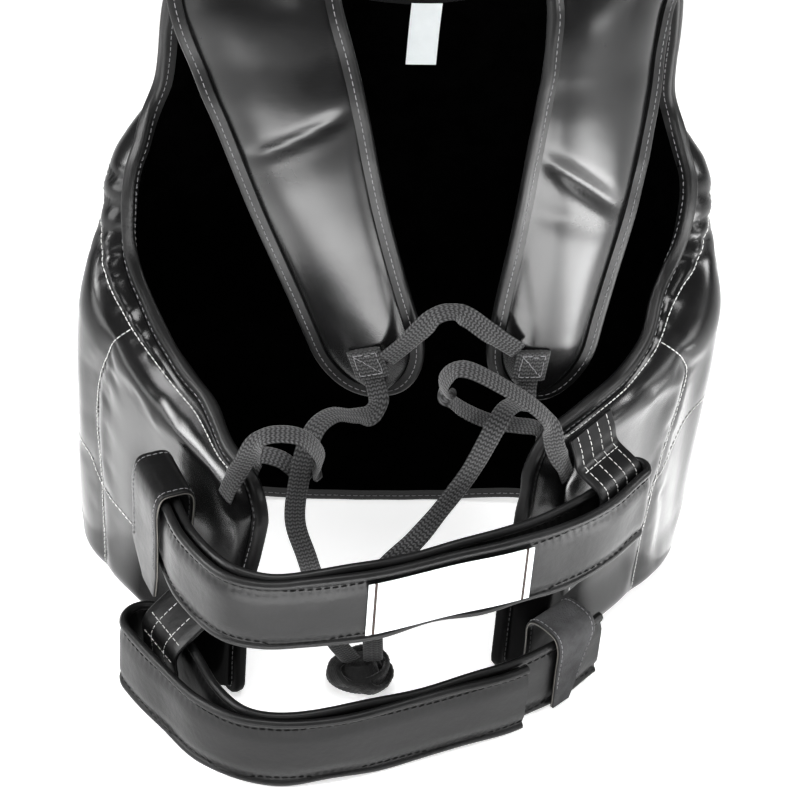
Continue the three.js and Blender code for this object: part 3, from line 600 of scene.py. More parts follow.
# the padded shell, drawn on its flat pattern
shell = dict(frontDepth=27, wingDepth=23, shoulderDepth=13, rimDepth=7, rollWidth=30, hemRoll=17,
             wingPadFrom=150, wingPadRun=60, shoulderPadFrom=350, shoulderPadRun=90, leanFrom=330,
             shoulderTop=466, shoulderLean=26, hemHeight=7.8, hemRise=6, hemFlat=40, hemSettle=180,
             wingFrom=240, wingEndTop=162, rightWingForward=24, rightWingIn=4, tiltFrom=200, tiltLeft=-4,
             tiltRight=12, leanOut=15, leanUp=(60, 400), leanChest=(20, 80), leanArmpit=(225, 185),
             columns=96, rows=43, pressure=3.5, growth=0.004, most=5, calm=(10, 45),
             # the last entry: where shade is painted at the wings' low ends, as ranges round the torso and
             # of height
             paintedShadeZones=(((236, 262), (165, 120)), ((290, 310), (150, 110))))
rimRoll = dict(rise=(150, 178), width=45, left=(11, 330, 285), right=(10.5, 245, 200))
rightFullness = dict(out=6, rise=(150, 185), fade=(262, 215))
endLean = dict(left=11, right=6, up=(165, 70))
quilting = dict(groove=3, grooveWidth=9, edgeGroove=3, edgeWidth=4.5, edgeFrom=(168, 182), edgeBand=(5, 12),
                edgeRun=(176, 338), crease=1.1, creaseWidth=1.8, clear=(8, 24), cornerShare=0.12, wander=70,
                wanderSeed=3, gatherPitch=22, gatherDepth=2.8, gatherFrom=(176, 186), gatherTo=(262, 226),
                gatherWander=0.3, gatherRound=0.7, gatherLevel=0.6, gatherAt=0.6, gatherReach=0.5,
                pucker=0.06, puckerWave=13, puckerReach=9, puckerClear=2, puckerWander=2.2, held=0.8,
                heldWidth=5, lineStep=4, stitchLength=3.2, stitchGap=0.5, threadRadius=0.38)
seams = dict(  # edge seam: distance round and way over the edge; the others: distance round and height
    left=dict(
        edge=[(176, 31), (182, 29), (196, 20), (215, 17.4), (231, 15.5), (248, 12.3), (273, 9.2),
              (303, 8.9), (327, 7), (335, 6)],
        drop=[(231, 223), (225, 206), (215, 179), (211, 138), (214, 104), (216, 74), (218, 37), (220, 8)],
        corner=[(192, 122), (208, 100), (215, 85), (242, 76), (262, 70)]),
    right=dict(
        edge=[(176, 30), (181, 28.5), (195, 16.8), (210, 10.5), (238, 7), (262, 6), (335, 6)],
        drop=[(237, 224), (228, 209), (221, 196), (225, 170), (233, 141), (238, 109), (243, 73), (245, 36),
              (246, 8)],
        corner=[(190, 165), (208, 150), (217, 139), (230, 121), (238, 111), (248, 92), (258, 76)]),
)
torsoPlan = [(0, 98), (70, 98), (122, 91), (160, 74), (177, 47), (164, 20), (137, -16), (110, -50),
             (85, -84)]
topEdge = [  # distance round the torso, height, and where the column meets the hem
    (0, 424, 0), (14, 425, 14), (30, 428, 28), (44, 435, 40), (54, 448, 49), (59, 461, 57), (66, 466, 66),
    (88, 466, 78), (114, 466, 92), (138, 466, 106), (146, 461, 116), (148, 445, 124), (148, 412, 132),
    (147, 382, 139), (149, 360, 146), (157, 343, 155), (169, 331, 166), (181, 320, 176), (189, 303, 186),
    (194, 282, 195), (202, 261, 204), (213, 245, 215), (225, 234, 227), (237, 224, 238), (249, 215, 250),
    (261, 208, 261), (273, 203, 273), (285, 200, 285), (297, 197, 297), (311, 193, 311), (325, 189, 325),
    (338, 186, 338), (348, 182, 348), (354, 174, 355),
]

planCurve = curveThrough([(-x, y, 0) for x, y in torsoPlan[:0:-1]] + [(x, y, 0) for x, y in torsoPlan])
halfGirth = planCurve["length"][-1] / 2
edgeCurve = curveThrough(topEdge + [(halfGirth, shell["wingEndTop"], halfGirth)], fine=8)
edgeLine = edgeCurve["points"][:, :2]


def planAt(along):
    place, run, _ = onCurve(planCurve, np.clip(0.5 + along.ravel() / (2 * halfGirth), 0, 1))
    wing = (np.maximum(0, along.ravel() - shell["wingFrom"]) / (halfGirth - shell["wingFrom"])) ** 2
    place = place + np.stack([-shell["rightWingIn"] * wing, shell["rightWingForward"] * wing, 0 * wing], 1)
    out = np.stack([-run[:, 1], run[:, 0], 0 * wing], 1)
    return place.reshape(along.shape + (3,)), out.reshape(along.shape + (3,))


def bySide(along, left, right):
    return np.where(along > 0, right, left)


def rimLean(along, up):
    # the wings' top edge rolls inwards
    turned = np.abs(along)
    left, right = (rimRoll[side][0] * ramp(turned, *rimRoll[side][1:]) for side in ("left", "right"))
    share = ramp(turned, *rimRoll["rise"]) * ramp(fromTopEdge(along, up), rimRoll["width"], 0)
    return bySide(along, left, right) * share


def wingLean(along, up):
    wing = np.maximum(0, np.abs(along) - shell["wingFrom"]) / (halfGirth - shell["wingFrom"])
    return bySide(along, endLean["left"], endLean["right"]) * wing ** 2 * ramp(up, *endLean["up"])


def innerAt(along, up):
    place, out = planAt(along)
    rise = np.maximum(0, up - shell["leanFrom"]) / (shell["shoulderTop"] - shell["leanFrom"])
    place = place - out * (shell["shoulderLean"] * rise ** 2 + rimLean(along, up))[..., None]
    side = ramp(along, *shell["leanChest"]) * ramp(along, *shell["leanArmpit"]) * ramp(up, *shell["leanUp"])
    place[..., 0] += shell["leanOut"] * side - wingLean(along, up)
    place[..., 2] = up
    return place, out


def wingLift(along):
    tilt = bySide(along, shell["tiltLeft"], shell["tiltRight"])
    return tilt * ramp(np.abs(along), shell["tiltFrom"], halfGirth)


def hemAt(along):
    share = (np.abs(along) - shell["hemFlat"]) / (shell["hemSettle"] - shell["hemFlat"])
    return shell["hemHeight"] + shell["hemRise"] * np.sin(np.pi * np.clip(share, 0, 1)) ** 2


def lineDistance(along, up, spots):
    # how far places of the flat pattern lie from a line drawn on it
    places = np.stack([np.abs(along), up], -1).reshape(-1, 2)
    spots = np.asarray(spots, float)
    near = np.full(len(places), np.inf)
    for start, end in zip(spots[:-1], spots[1:]):
        step = end - start
        share = np.clip((places - start) @ step / max(step @ step, 1e-9), 0, 1)
        near = np.minimum(near, np.linalg.norm(places - start - share[:, None] * step, axis=1))
    return near.reshape(along.shape)


def fromTopEdge(along, up):
    return lineDistance(along, up - wingLift(along), edgeLine)


def edgeArc(fromTop):
    # the way over the rounded edge, from the rim
    roll = shell["rollWidth"]
    return roll * np.arccos(1 - np.clip(fromTop / roll, 0, 1)) + np.maximum(0, fromTop - roll)


def edgeSeamAt(along):
    return bySide(along, *(np.interp(np.abs(along), *np.array(row["edge"]).T) for row in seams.values()))


def seamsNear(along, up, fromTop):
    # for each seam: distance, how much of it is there, the way along it, groove depth and width
    q = quilting
    turned = np.abs(along)
    band = edgeSeamAt(along)
    drop, corner = (bySide(along, *(lineDistance(along, up, row[name]) for row in seams.values()))
                    for name in ("drop", "corner"))
    edge = ramp(turned, *q["edgeFrom"]) * ramp(band, *q["edgeBand"])
    clear = ramp(fromTop, *q["clear"]) * np.clip((up - hemAt(along)) / shell["hemRoll"], 0, 1)
    return [(edgeArc(fromTop) - band, edge, turned, q["edgeGroove"], q["edgeWidth"]),
            (drop, clear, up, q["groove"], q["grooveWidth"]),
            (corner, clear * q["cornerShare"], up + turned, q["groove"], q["grooveWidth"])]


def wander(along, up):
    return ripple(np.stack([along, up], -1), quilting["wander"], quilting["wanderSeed"])


def padDepth(along, up, fine=True):
    q = quilting
    turned = np.abs(along)
    fromTop = fromTopEdge(along, up)
    wing = ramp(turned, shell["wingPadFrom"], shell["wingPadFrom"] + shell["wingPadRun"])
    shoulder = ramp(up, shell["shoulderPadFrom"], shell["shoulderPadFrom"] + shell["shoulderPadRun"])
    full = lerp(lerp(shell["frontDepth"], shell["wingDepth"], wing), shell["shoulderDepth"], shoulder)
    fuller = ramp(along, *rightFullness["rise"]) * ramp(along, *rightFullness["fade"])
    full = full + rimLean(along, up) + rightFullness["out"] * fuller
    fromHem = (up - hemAt(along)) / shell["hemRoll"]
    edge = np.minimum(np.minimum(fromTop, halfGirth - turned) / shell["rollWidth"], fromHem)
    edge = np.clip(edge, 0, 1)
    depth = shell["rimDepth"] + (full - shell["rimDepth"]) * np.sqrt(1 - (1 - edge) ** 2)
    for distance, share, runs, groove, width in seamsNear(along, up, fromTop):
        depth = depth - groove * bump(distance, width) * share
        if fine:
            depth = depth - q["crease"] * bump(distance, q["creaseWidth"]) * share
            wave = np.sin(2 * np.pi * runs / q["puckerWave"] + q["puckerWander"] * wander(along, up))
            reach = bump(distance, q["puckerReach"]) * (1 - bump(distance, q["puckerClear"]))
            depth = depth + q["pucker"] * wave * reach * share
    return depth


def gathers(along, up):
    # rounded puffs between the binding and the edge seam, where the edge turns down
    q = quilting
    turned = np.abs(along)
    turn = np.pi * ((turned - up) / q["gatherPitch"] + q["gatherWander"] * wander(along, up))
    puffs = np.abs(np.cos(turn)) ** q["gatherRound"] - q["gatherLevel"]
    band = edgeSeamAt(along)
    share = bump(edgeArc(fromTopEdge(along, up)) - band * q["gatherAt"], band * q["gatherReach"])
    return q["gatherDepth"] * puffs * share * ramp(turned, *q["gatherFrom"]) * ramp(turned, *q["gatherTo"])


def shellShadeMask(along, up):
    # painted shade: the leather reflects less low down at the wings' ends, where the belts shade it
    left, right = (ramp(np.abs(along), *ends) * ramp(up, *low) for ends, low in shell["paintedShadeZones"])
    return 1 - bySide(along, left, right)


def columnShares(length, rows):
    # shares of a column's height, even along the rounded edges
    top, hem = shell["rollWidth"], shell["hemRoll"]
    plain = length - top - hem
    way = np.linspace(0, 1, rows) * (plain + (top + hem) * np.pi / 2)[:, None]
    rest = way - hem * np.pi / 2
    low = hem * (1 - np.cos(np.clip(way / hem, 0, np.pi / 2)))
    high = top * np.sin(np.clip((rest - plain[:, None]) / top, 0, np.pi / 2))
    return (low + np.clip(rest, 0, plain[:, None]) + high) / length[:, None]


def shellPattern(columns, rows):
    right, _, _ = onCurve(edgeCurve, np.linspace(0, 1, columns + 1))
    edge = np.vstack([right[:0:-1] * (-1, 1, -1), right])
    top = edge[:, 1] + wingLift(edge[:, 0])
    rise = columnShares(np.hypot(top - hemAt(edge[:, 2]), edge[:, 0] - edge[:, 2]), rows)
    along = lerp(edge[:, 2:], edge[:, :1], rise)
    up = lerp(hemAt(edge[:, 2])[:, None], top[:, None], rise)
    return along, up


def makeShell():
    columns, rows = shell["columns"], shell["rows"]
    along, up = shellPattern(columns, rows)
    inner, out = innerAt(along, up)
    rough = inner + out * padDepth(along, up, fine=False)[..., None]
    held = np.zeros(along.shape)
    for distance, share, *_ in seamsNear(along, up, fromTopEdge(along, up)):
        held = np.maximum(held, quilting["held"] * bump(distance, quilting["heldWidth"]) * share)
    held[[0, -1]] = 1
    held[:, [0, -1]] = 1
    flat = rough.reshape(-1, 3)
    faces = gridFaces(*along.shape)[:, ::-1]
    blown = puffed(flat, faces, held.ravel(), shell["pressure"], shell["growth"], shell["most"])
    moved = (blown - flat).reshape(rough.shape)
    along, up = shellPattern(2 * columns, 2 * rows - 1)
    calm = ramp(np.minimum(edgeArc(fromTopEdge(along, up)), up - hemAt(along)), *shell["calm"])
    moved = doubled(doubled(moved, 0), 1) * calm[..., None]
    inner, out = innerAt(along, up)
    outer = inner + out * padDepth(along, up)[..., None] + moved
    normal = unit(np.cross(np.gradient(outer, axis=1), np.gradient(outer, axis=0)))
    outer = outer + normal * gathers(along, up)[..., None]
    loops = np.concatenate([outer, inner[:, ::-1]], 1)
    spans, count = len(loops) - 1, outer.shape[1]
    isLining = np.tile(np.arange(2 * count) >= count - 1, spans)
    ladder = [[low, low + 1, 2 * count - 2 - low, 2 * count - 1 - low] for low in range(count - 1)]
    caps = [cell[::-1] for cell in ladder]
    caps += [[index + spans * 2 * count for index in cell] for cell in ladder]
    # painted shade mask, 1 where lit and 0 where shade is painted, held as the relief attribute
    shadeMask = shellShadeMask(along, up)
    piece = makePiece("body.shell.pad", loops, gridFaces(len(loops), 2 * count, False, True),
                      [shellLeather, liningCloth], isLining, caps,
                      relief=np.concatenate([shadeMask, shadeMask[:, ::-1]], 1))
    return sewOn(piece, "leather", "body_shell")


shellPiece = makeShell()
print("shell padded")


def wingFace(along, up):
    along, up = np.broadcast_arrays(np.asarray(along, float), np.asarray(up, float))
    place, out = innerAt(along, up)
    return place + out * padDepth(along, up, fine=False)[..., None], out


def edgeSeamLine(sign):
    # the edge seam on the flat pattern, under the wing's top edge
    run = heading(edgeLine)
    arc = edgeSeamAt(edgeLine[:, 0] * sign)
    drop = shell["rollWidth"] * (1 - np.cos(arc / shell["rollWidth"]))
    line = edgeLine + np.stack([run[:, 1], -run[:, 0]], 1) * drop[:, None]
    start, end = quilting["edgeRun"]
    line = line[(edgeLine[:, 0] > start) & (edgeLine[:, 0] < end)]
    return line + np.stack([0 * line[:, 0], wingLift(line[:, 0] * sign)], 1)


def makeShellStitching():
    lines = []
    for sign, seam in zip((-1, 1), seams.values()):
        drop = curveThrough([(*spot, 0) for spot in seam["drop"]], 12)["points"][:, :2]
        for spots in (edgeSeamLine(sign), drop, np.array(seam["corner"], float)):
            spots = spaced(spots, quilting["lineStep"])[0]
            lines.append(wingFace(spots[:, 0] * sign, spots[:, 1])[0])
    sewLines("quilting.stitches", shellPiece, lines, quilting, whiteThread, "leather")


makeShellStitching()


# the bound edge of the shell
# the first two entries mark where shade is painted on the tape, at the wings' low back ends
edgeTape = dict(shadeBack=(-30, -50), shadeLow=(165, 120), dullNeck=(60, 45), width=7, depth=8.4, corner=2.6,
                gap=0.8, tuck=2.2, step=2, pucker=0.05, puckerWave=5, stitchIn=1.9, stitchLength=3.4,
                stitchGap=1.2, threadRadius=0.28)
tapeShape = dict(tuckTo=0.01, tuckThin=0.5, uneven=0.05, wave=31, seed=11, smoothing=3)


def tapeProfile(tape, along):
    section = roundedBar(tape["width"], tape["depth"], tape["corner"], 4, 3)
    half = tape["depth"] / 2
    left = section[:, 0] < 0
    across, deep = section[left].T
    tucked = np.minimum(across, tapeShape["tuckTo"] - tape["width"] / 2)
    section[left, 0] = tucked - tape["gap"] - tape["tuck"]
    section[left, 1] = np.sign(deep) * np.minimum(np.abs(deep), half - tapeShape["tuckThin"])
    drawn = 1 + tape["pucker"] / half * np.sin(2 * np.pi * along / tape["puckerWave"])
    drawn = drawn + tapeShape["uneven"] * ripple(along, tapeShape["wave"], tapeShape["seed"])
    profile = np.repeat(section[None], len(along), 0)
    profile[..., 1] *= drawn[:, None]
    return profile


def tapeLine(at, out, tape, closed):
    joined = np.hstack([at, out])
    line, along = spaced(joined, tape["step"], closed)
    for _ in range(tapeShape["smoothing"]):
        if closed:
            line = (np.roll(line, 1, 0) + 2 * line + np.roll(line, -1, 0)) / 4
        else:
            line[1:-1] = (line[:-2] + 2 * line[1:-1] + line[2:]) / 4
    at, out = line[:, :3], line[:, 3:]
    run = heading(at, closed)
    side = unit(np.cross(run, out))
    face = unit(np.cross(side, run))
    return at + side * (tape["width"] / 2 + tape["gap"]), side, face, along


def bindEdge(name, node, line, out, tape, sheenMaskAt, closed=False):
    at, side, face, length = tapeLine(line, out, tape, closed)
    profile = tapeProfile(tape, length)
    # the tape's sheen mask goes on as its relief attribute, for the painted shade
    piece = sweep(f"{name}.tape", at, side, face, profile, [bindingLeather], closed,
                  relief=np.repeat(sheenMaskAt(at), profile.shape[1]))
    sewOn(piece, "binding", node)
    lines = [at - side * tape["stitchIn"] + face * sign * tape["depth"] / 2 for sign in (1, -1)]
    sewLines(f"{name}.stitches", piece, lines, tape, greyThread, "binding", closed)


# painted shade: the tape reflects less at the wings' back ends low down, between the belts; it also
# reflects less round the neck
def edgeSheenMask(at):
    ends = ramp(at[:, 1], *edgeTape["shadeBack"]) * ramp(at[:, 2], *edgeTape["shadeLow"])
    neck = ramp(np.abs(at[:, 0]), *edgeTape["dullNeck"]) * (at[:, 2] > shell["leanFrom"])
    return 1 - np.maximum(ends, neck)


def makeEdgeBinding():
    along, up = shellPattern(shell["columns"], shell["rows"])
    inner, out = innerAt(along, up)
    rim = inner + out * padDepth(along, up, fine=False)[..., None] / 2
    line, ways = (np.vstack([grid[:, -1], grid[-1, -2:0:-1], grid[::-1, 0], grid[0, 1:-1]])
                  for grid in (rim, out))
    bindEdge("edge.binding", "edge_binding", line, ways, edgeTape, edgeSheenMask, True)


makeEdgeBinding()
print("shell bound and stitched")


# shoulder straps
strap = dict(shoulderHalf=43, endHalf=29, tipLength=40, tipShare=0.955, tipPlump=0.55, seamRun=40,
             seamPlump=0.35, taperFrom=0.16, taperTo=0.96, rim=2.4, low=1, sunk=0.94, heldRim=0.02,
             crown=7.8, fullness=2.6, swell=0.8, back=2.2, closeness=0.35, stations=91, across=17, behind=9,
             edgeSteps=181, pressure=4, growth=0, most=4)
strapTape = dict(width=6.6, depth=7, corner=2.4, gap=0.6, tuck=1.6, step=1.9, pucker=0.04, puckerWave=4.6,
                 stitchIn=1.4, stitchLength=3.3, stitchGap=1.1, threadRadius=0.27)
straps = dict(
    left=dict(
        tabShift=0,
        route=[(-102, 72, 474.4, 0), (-102, 71.5, 480, 0), (-102, 66, 490, 0), (-102, 49, 499, -2),
               (-101, 28, 490, -5), (-97, 15, 466, -8), (-85, 7, 430, -10), (-76, 1, 404, -10),
               (-56, -7, 338, -10), (-32, -12, 268, -10), (-9, -16, 204, -10)],
        creases=[(0.475, -0.03, 0.22, 5), (0.5, -0.03, 0.12, 16)],
    ),
    right=dict(
        tabShift=-9,
        route=[(116, 72, 474.4, 0), (116, 71.5, 480, 0), (116, 66, 490, 3), (115, 49, 499, 12),
               (113, 28, 490, 28), (111, 15, 466, 37), (109, 7, 430, 36), (107, 1, 404, 31),
               (101, -7, 336, 20), (92, -12, 268, 12), (85, -16, 202, 8)],
        creases=[(0.56, 0.07, 0.4, 7), (0.63, 0.03, 0.1, 9)],
    ),
)


def strapFrame(which, shares):
    route = which["route"]
    curve = curveThrough([row[:3] for row in route])
    shares = np.asarray(shares, float)
    at, run, marks = onCurve(curve, shares)
    twist = np.radians(np.interp(marks, np.arange(len(route)), [row[3] for row in route]))
    side = squareTo(np.stack([np.cos(twist), np.sin(twist), 0 * twist], 1), run)
    face = unit(np.cross(run, side))
    length = curve["length"][-1]
    toEnd = np.minimum(1, (1 - shares) * length / strap["tipLength"])
    narrow = np.sqrt(1 - strap["tipShare"] * (1 - toEnd) ** 2)
    taper = ramp(shares, strap["taperFrom"], strap["taperTo"])
    half = lerp(strap["shoulderHalf"], strap["endHalf"], taper) * narrow
    fromSeam = np.minimum(1, shares * length / strap["seamRun"])
    plump = np.minimum(lerp(strap["tipPlump"], 1, toEnd), lerp(strap["seamPlump"], 1, fromSeam))
    return dict(at=at, run=run, side=side, face=face, half=half, plump=plump, length=length)


def strapShares(count):
    # closer together round the tip
    even = np.linspace(0, 1, count)
    return lerp(even, 1 - (1 - even) ** 2, strap["closeness"])


def strapLoops(which, stations, across, behind):
    shares = strapShares(stations)
    spot = strapFrame(which, shares)
    front = -np.cos(np.linspace(0, np.pi, across))
    back = np.cos(np.linspace(0, np.pi, behind + 2))[1:-1]
    fromMiddle = np.minimum(1, np.abs(front) / strap["sunk"])
    dome = strap["low"] + (strap["rim"] - strap["low"] + strap["crown"]) * (
        1 - fromMiddle ** strap["fullness"]) ** strap["swell"]
    hollow = -(strap["rim"] + strap["back"] * (1 - back ** 2))
    kept = np.ones((stations, across))
    for middle, slant, depth, width in which["creases"]:
        away = (shares[:, None] - middle - slant * front) * spot["length"]
        kept = kept * (1 - depth * bump(away, width))
    outer = dome * kept * spot["plump"][:, None]
    inner = hollow * spot["plump"][:, None]
    reach = np.concatenate([front, back])[None] * spot["half"][:, None]
    profile = np.stack([reach, np.concatenate([outer, inner], 1)], -1)
    held = np.concatenate([np.abs(front) > strap["sunk"] - strap["heldRim"], np.zeros(behind)])
    return sweepPoints(spot["at"], spot["side"], spot["face"], profile), held


def makeStrap(side, which):
    stations, across, behind = strap["stations"], strap["across"], strap["behind"]
    rough, heldAcross = strapLoops(which, stations, across, behind)
    held = np.repeat(heldAcross[None], stations, 0).astype(float)
    held[[0, -1]] = 1
    columns = across + behind
    faces = gridFaces(stations, columns, False, True)
    flat = rough.reshape(-1, 3)
    faces = faces if facedOut(flat, faces) else faces[:, ::-1]
    blown = puffed(flat, faces, held.ravel(), strap["pressure"], strap["growth"], strap["most"])
    loops = doubled(blown.reshape(rough.shape), 0)
    ring = np.concatenate([loops, loops[:, :3]], 1)
    ring = np.concatenate([loops[:, -2:], ring], 1)
    loops = doubled(ring, 1)[:, 4:4 + 2 * columns]
    ends = np.arange(2 * columns)
    caps = [ends[::-1], ends + (len(loops) - 1) * len(ends)]
    piece = makePiece(f"shoulder.strap.{side}.pad", loops, gridFaces(len(loops), 2 * columns, False, True),
                      [strapLeather], caps=caps)
    sewOn(piece, "strap_leather", f"shoulder_strap_{side}")


def makeStrapBinding(side, which):
    spot = strapFrame(which, strapShares(strap["edgeSteps"]))
    left, right = (spot["at"] + spot["side"] * sign * spot["half"][:, None] for sign in (-1, 1))
    face = np.vstack([spot["face"], spot["face"][::-1]])
    bindEdge(f"strap.binding.{side}", f"strap_binding_{side}", np.vstack([left, right[::-1]]), face,
             strapTape, lambda at: np.ones(len(at)))


for side, which in straps.items():
    makeStrap(side, which)
    makeStrapBinding(side, which)
print("straps padded and bound")


# squares of folded lace, box-stitched to the strap ends
tab = dict(side=22, depth=3.2, fromEnd=28, lift=1.4, inset=3.2, steps=12, stitchLength=2.6, stitchGap=0.8,
           threadRadius=0.3)
tabBox = np.array([(-1, -1), (1, -1), (1, 1), (-1, 1), (-1, -1), (1, 1)])


def makeTab(side, which):
    length = strapFrame(which, [0])["length"]
    spot = strapFrame(which, [1 - tab["fromEnd"] / length])
    at, run, across, face = (spot[key][0] for key in ("at", "run", "side", "face"))
    crown = (strap["rim"] + strap["crown"]) * spot["plump"][0]
    place = at + face * (crown + tab["lift"] + tab["depth"] / 2) + across * which["tabShift"]
    line = place + run * np.linspace(-0.5, 0.5, tab["steps"])[:, None] * tab["side"]
    facing = np.repeat(face[None], len(line), 0)
    piece = braid(f"strap.tab.{side}.fold", line, facing, braidCharcoal, tab["side"], tab["depth"])
    sewOn(piece, "lace", f"strap_tab_{side}")
    corners = tabBox * (tab["side"] / 2 - tab["inset"])
    box = place + corners[:, :1] * across + corners[:, 1:] * run + face * tab["depth"]
    lines = [box[start:start + 2] for start in range(len(box) - 1)]
    sewLines(f"strap.tab.{side}.stitches", piece, lines, tab, greyThread, "lace")


for side, which in straps.items():
    makeTab(side, which)
print("tabs sewn")


# closing belts: a padded band turned back on itself, with rolled rims
belt = dict(height=57, depth=6.4, layerGap=0.8, step=1.3, foldSteps=24, riseFrom=0.78, roll=2.9,
            rollSteps=11, fromEdge=(5.2, 5.8, 6.6, 7.4, 8.4, 10, 13, 18, 23), groove=1.3, grooveAt=6.6,
            plumpAt=15, middle=3.1, sway=2.2, wave=0.7, scallop=0.6, scallopLevel=0.6, scallopIn=2,
            scallopWidth=1.6, pathSteps=160, stitchLength=4, stitchGap=1.2, threadRadius=0.36)
belts = dict(
    upper=dict(middle=143.5, side=1, tip=0.05, foldFrom=0.5, foldHalf=7.7, foldRise=6,
               line=[(-158, -46), (-146, -76), (-131, -119), (-109, -147), (-85, -156), (-60, -155),
                     (-20, -147), (30, -129), (63, -118), (97, -103), (127, -84), (149, -61)]),
    lower=dict(middle=30.5, side=-1, tip=0.19, foldFrom=0.66, foldHalf=15, foldRise=0,
               line=[(141, -73), (111, -99), (79, -119), (44, -133), (5, -147), (-40, -161), (-77, -164),
                     (-98, -159), (-118, -141), (-136, -112), (-156, -78)]),
)


def beltFrame(which, shares):
    shares = np.atleast_1d(np.asarray(shares, float))
    at, run, _ = onCurve(curveThrough([(x, y, 0) for x, y in which["line"]]), shares)
    out = np.stack([run[:, 1] * which["side"], -run[:, 0] * which["side"], 0 * shares], 1)
    folding = ramp(shares, which["foldFrom"], 1)
    half = lerp((belt["depth"] + belt["layerGap"]) / 2, which["foldHalf"], folding)
    up = which["middle"] + which["foldRise"] * ramp(shares, belt["riseFrom"], 1)
    return dict(at=at, run=run, out=out, half=half, up=up)


def beltSection():
    # a plump middle between two rolled rims, each with a sewn groove beside it
    low = belt["height"] / 2
    rolled = belt["roll"] * (1 - np.cos(np.linspace(0, np.pi, belt["rollSteps"])))
    fromEdge = np.concatenate([rolled[:-2], belt["fromEdge"]])
    roll = np.sqrt(np.maximum(0, belt["roll"] ** 2 - (fromEdge - belt["roll"]) ** 2))
    body = lerp(belt["groove"], belt["middle"], ramp(fromEdge, belt["grooveAt"], belt["plumpAt"]))
    thick = np.where(fromEdge < belt["grooveAt"], np.maximum(roll, belt["groove"]), body)
    thick[0] = 0
    lower = np.stack([fromEdge - low, thick], 1)
    front = np.vstack([lower, lower[::-1] * (-1, 1)])
    back = front[-2:0:-1] * (1, -1)
    return np.vstack([front, back])


def beltPath(which):
    shares = np.linspace(0, 1, belt["pathSteps"])
    spot = beltFrame(which, shares)
    lift = spot["up"][:, None] * (0, 0, 1)
    inner = spot["at"] - spot["out"] * spot["half"][:, None] + lift
    outer = spot["at"] + spot["out"] * spot["half"][:, None] + lift
    end = {key: value[-1] for key, value in spot.items()}
    turns = np.linspace(0, np.pi, belt["foldSteps"] + 1)[1:-1, None]
    fold = end["at"] + end["half"] * (end["run"] * np.sin(turns) - end["out"] * np.cos(turns)) + lift[-1]
    return spaced(np.vstack([inner, fold, outer[shares >= which["tip"]][::-1]]), belt["step"])


def makeBelt(name, which):
    at, along = beltPath(which)
    run = unit(heading(at) * (1, 1, 0))
    side = np.tile([0.0, 0.0, 1.0], (len(at), 1))
    face = np.stack([run[:, 1], -run[:, 0], 0 * along], 1)
    section = beltSection()
    profile = np.repeat(section[None], len(at), 0)
    upper = section[:, 0] > 0
    sway = np.where(upper[None], ripple(along, 90, 21)[:, None], ripple(along, 75, 22)[:, None])
    profile[..., 0] += belt["sway"] * sway * np.abs(section[:, 0]) / belt["height"]
    fromEdge = belt["height"] / 2 - np.abs(section[:, 0])
    inward = np.clip(fromEdge / (belt["height"] / 2), 0, 1)
    profile[..., 1] += belt["wave"] * ripple(along, 60, 23)[:, None] * inward
    drawn = np.abs(np.sin(np.pi * along / (belt["stitchLength"] + belt["stitchGap"])))
    beside = bump(fromEdge - belt["grooveAt"] - belt["scallopIn"], belt["scallopWidth"])
    beside = beside * np.sign(section[:, 1])
    profile[..., 1] += belt["scallop"] * (drawn - belt["scallopLevel"])[:, None] * beside
    piece = sweep(f"{name}.belt.band", at, side, face, profile, [beltLeather])
    sewOn(piece, "belt_leather", f"{name}_belt")
    reach = belt["height"] / 2 - belt["grooveAt"]
    lines = [at + side * sign * reach + face * out * belt["depth"] / 2
             for sign in (1, -1) for out in (1, -1)]
    sewLines(f"{name}.belt.stitches", piece, lines, belt, darkThread, "belt_leather")


for name, which in belts.items():
    makeBelt(name, which)
print("belts folded")


# white patch on the upper belt, left plain between two thin lines
patch = dict(start=0.505, end=0.775, height=43, depth=0.8, corner=0.25, gap=0.3, steps=120,
             lineShares=((0.03, 0.045), (0.955, 0.97)))


def makeBeltLabel():
    shares = np.linspace(patch["start"], patch["end"], patch["steps"])
    spot = beltFrame(belts["upper"], shares)
    lift = spot["half"] + belt["depth"] / 2 + patch["gap"] + patch["depth"] / 2
    at = spot["at"] + spot["out"] * lift[:, None] + spot["up"][:, None] * (0, 0, 1)
    side = np.tile([0.0, 0.0, 1.0], (len(at), 1))
    section = roundedBar(patch["height"], patch["depth"], patch["corner"], 2, 8)
    share = np.repeat(np.linspace(0, 1, patch["steps"] - 1), len(section))
    isLine = np.any([(share > low) & (share < high) for low, high in patch["lineShares"]], axis=0)
    piece = sweep("belt.label.patch", at, side, spot["out"], section, [labelCloth, labelLine],
                  facePaint=isLine)
    sewOn(piece, "label", "belt_label")


makeBeltLabel()


# small bare label inside the neckline
sizeLabel = dict(along=10, width=19, length=50, depth=0.6, corner=0.2, below=1, lift=0.9, curl=1.2,
                 curlFrom=0.4, steps=24)


def makeSizeLabel():
    share = np.linspace(0, 1, sizeLabel["steps"])
    top = topEdge[0][1] - sizeLabel["below"]
    up = top - sizeLabel["length"] * share
    at, out = innerAt(np.full(len(up), float(sizeLabel["along"])), up)
    at = at - out * (sizeLabel["lift"] + sizeLabel["curl"] * ramp(share, sizeLabel["curlFrom"], 1))[:, None]
    side = np.stack([out[:, 1], -out[:, 0], 0 * share], 1)
    section = roundedBar(sizeLabel["width"], sizeLabel["depth"], sizeLabel["corner"], 2, 4)
    sewOn(sweep("size.label.tag", at, side, out, section, [labelCloth]), "label", "size_label")


makeSizeLabel()


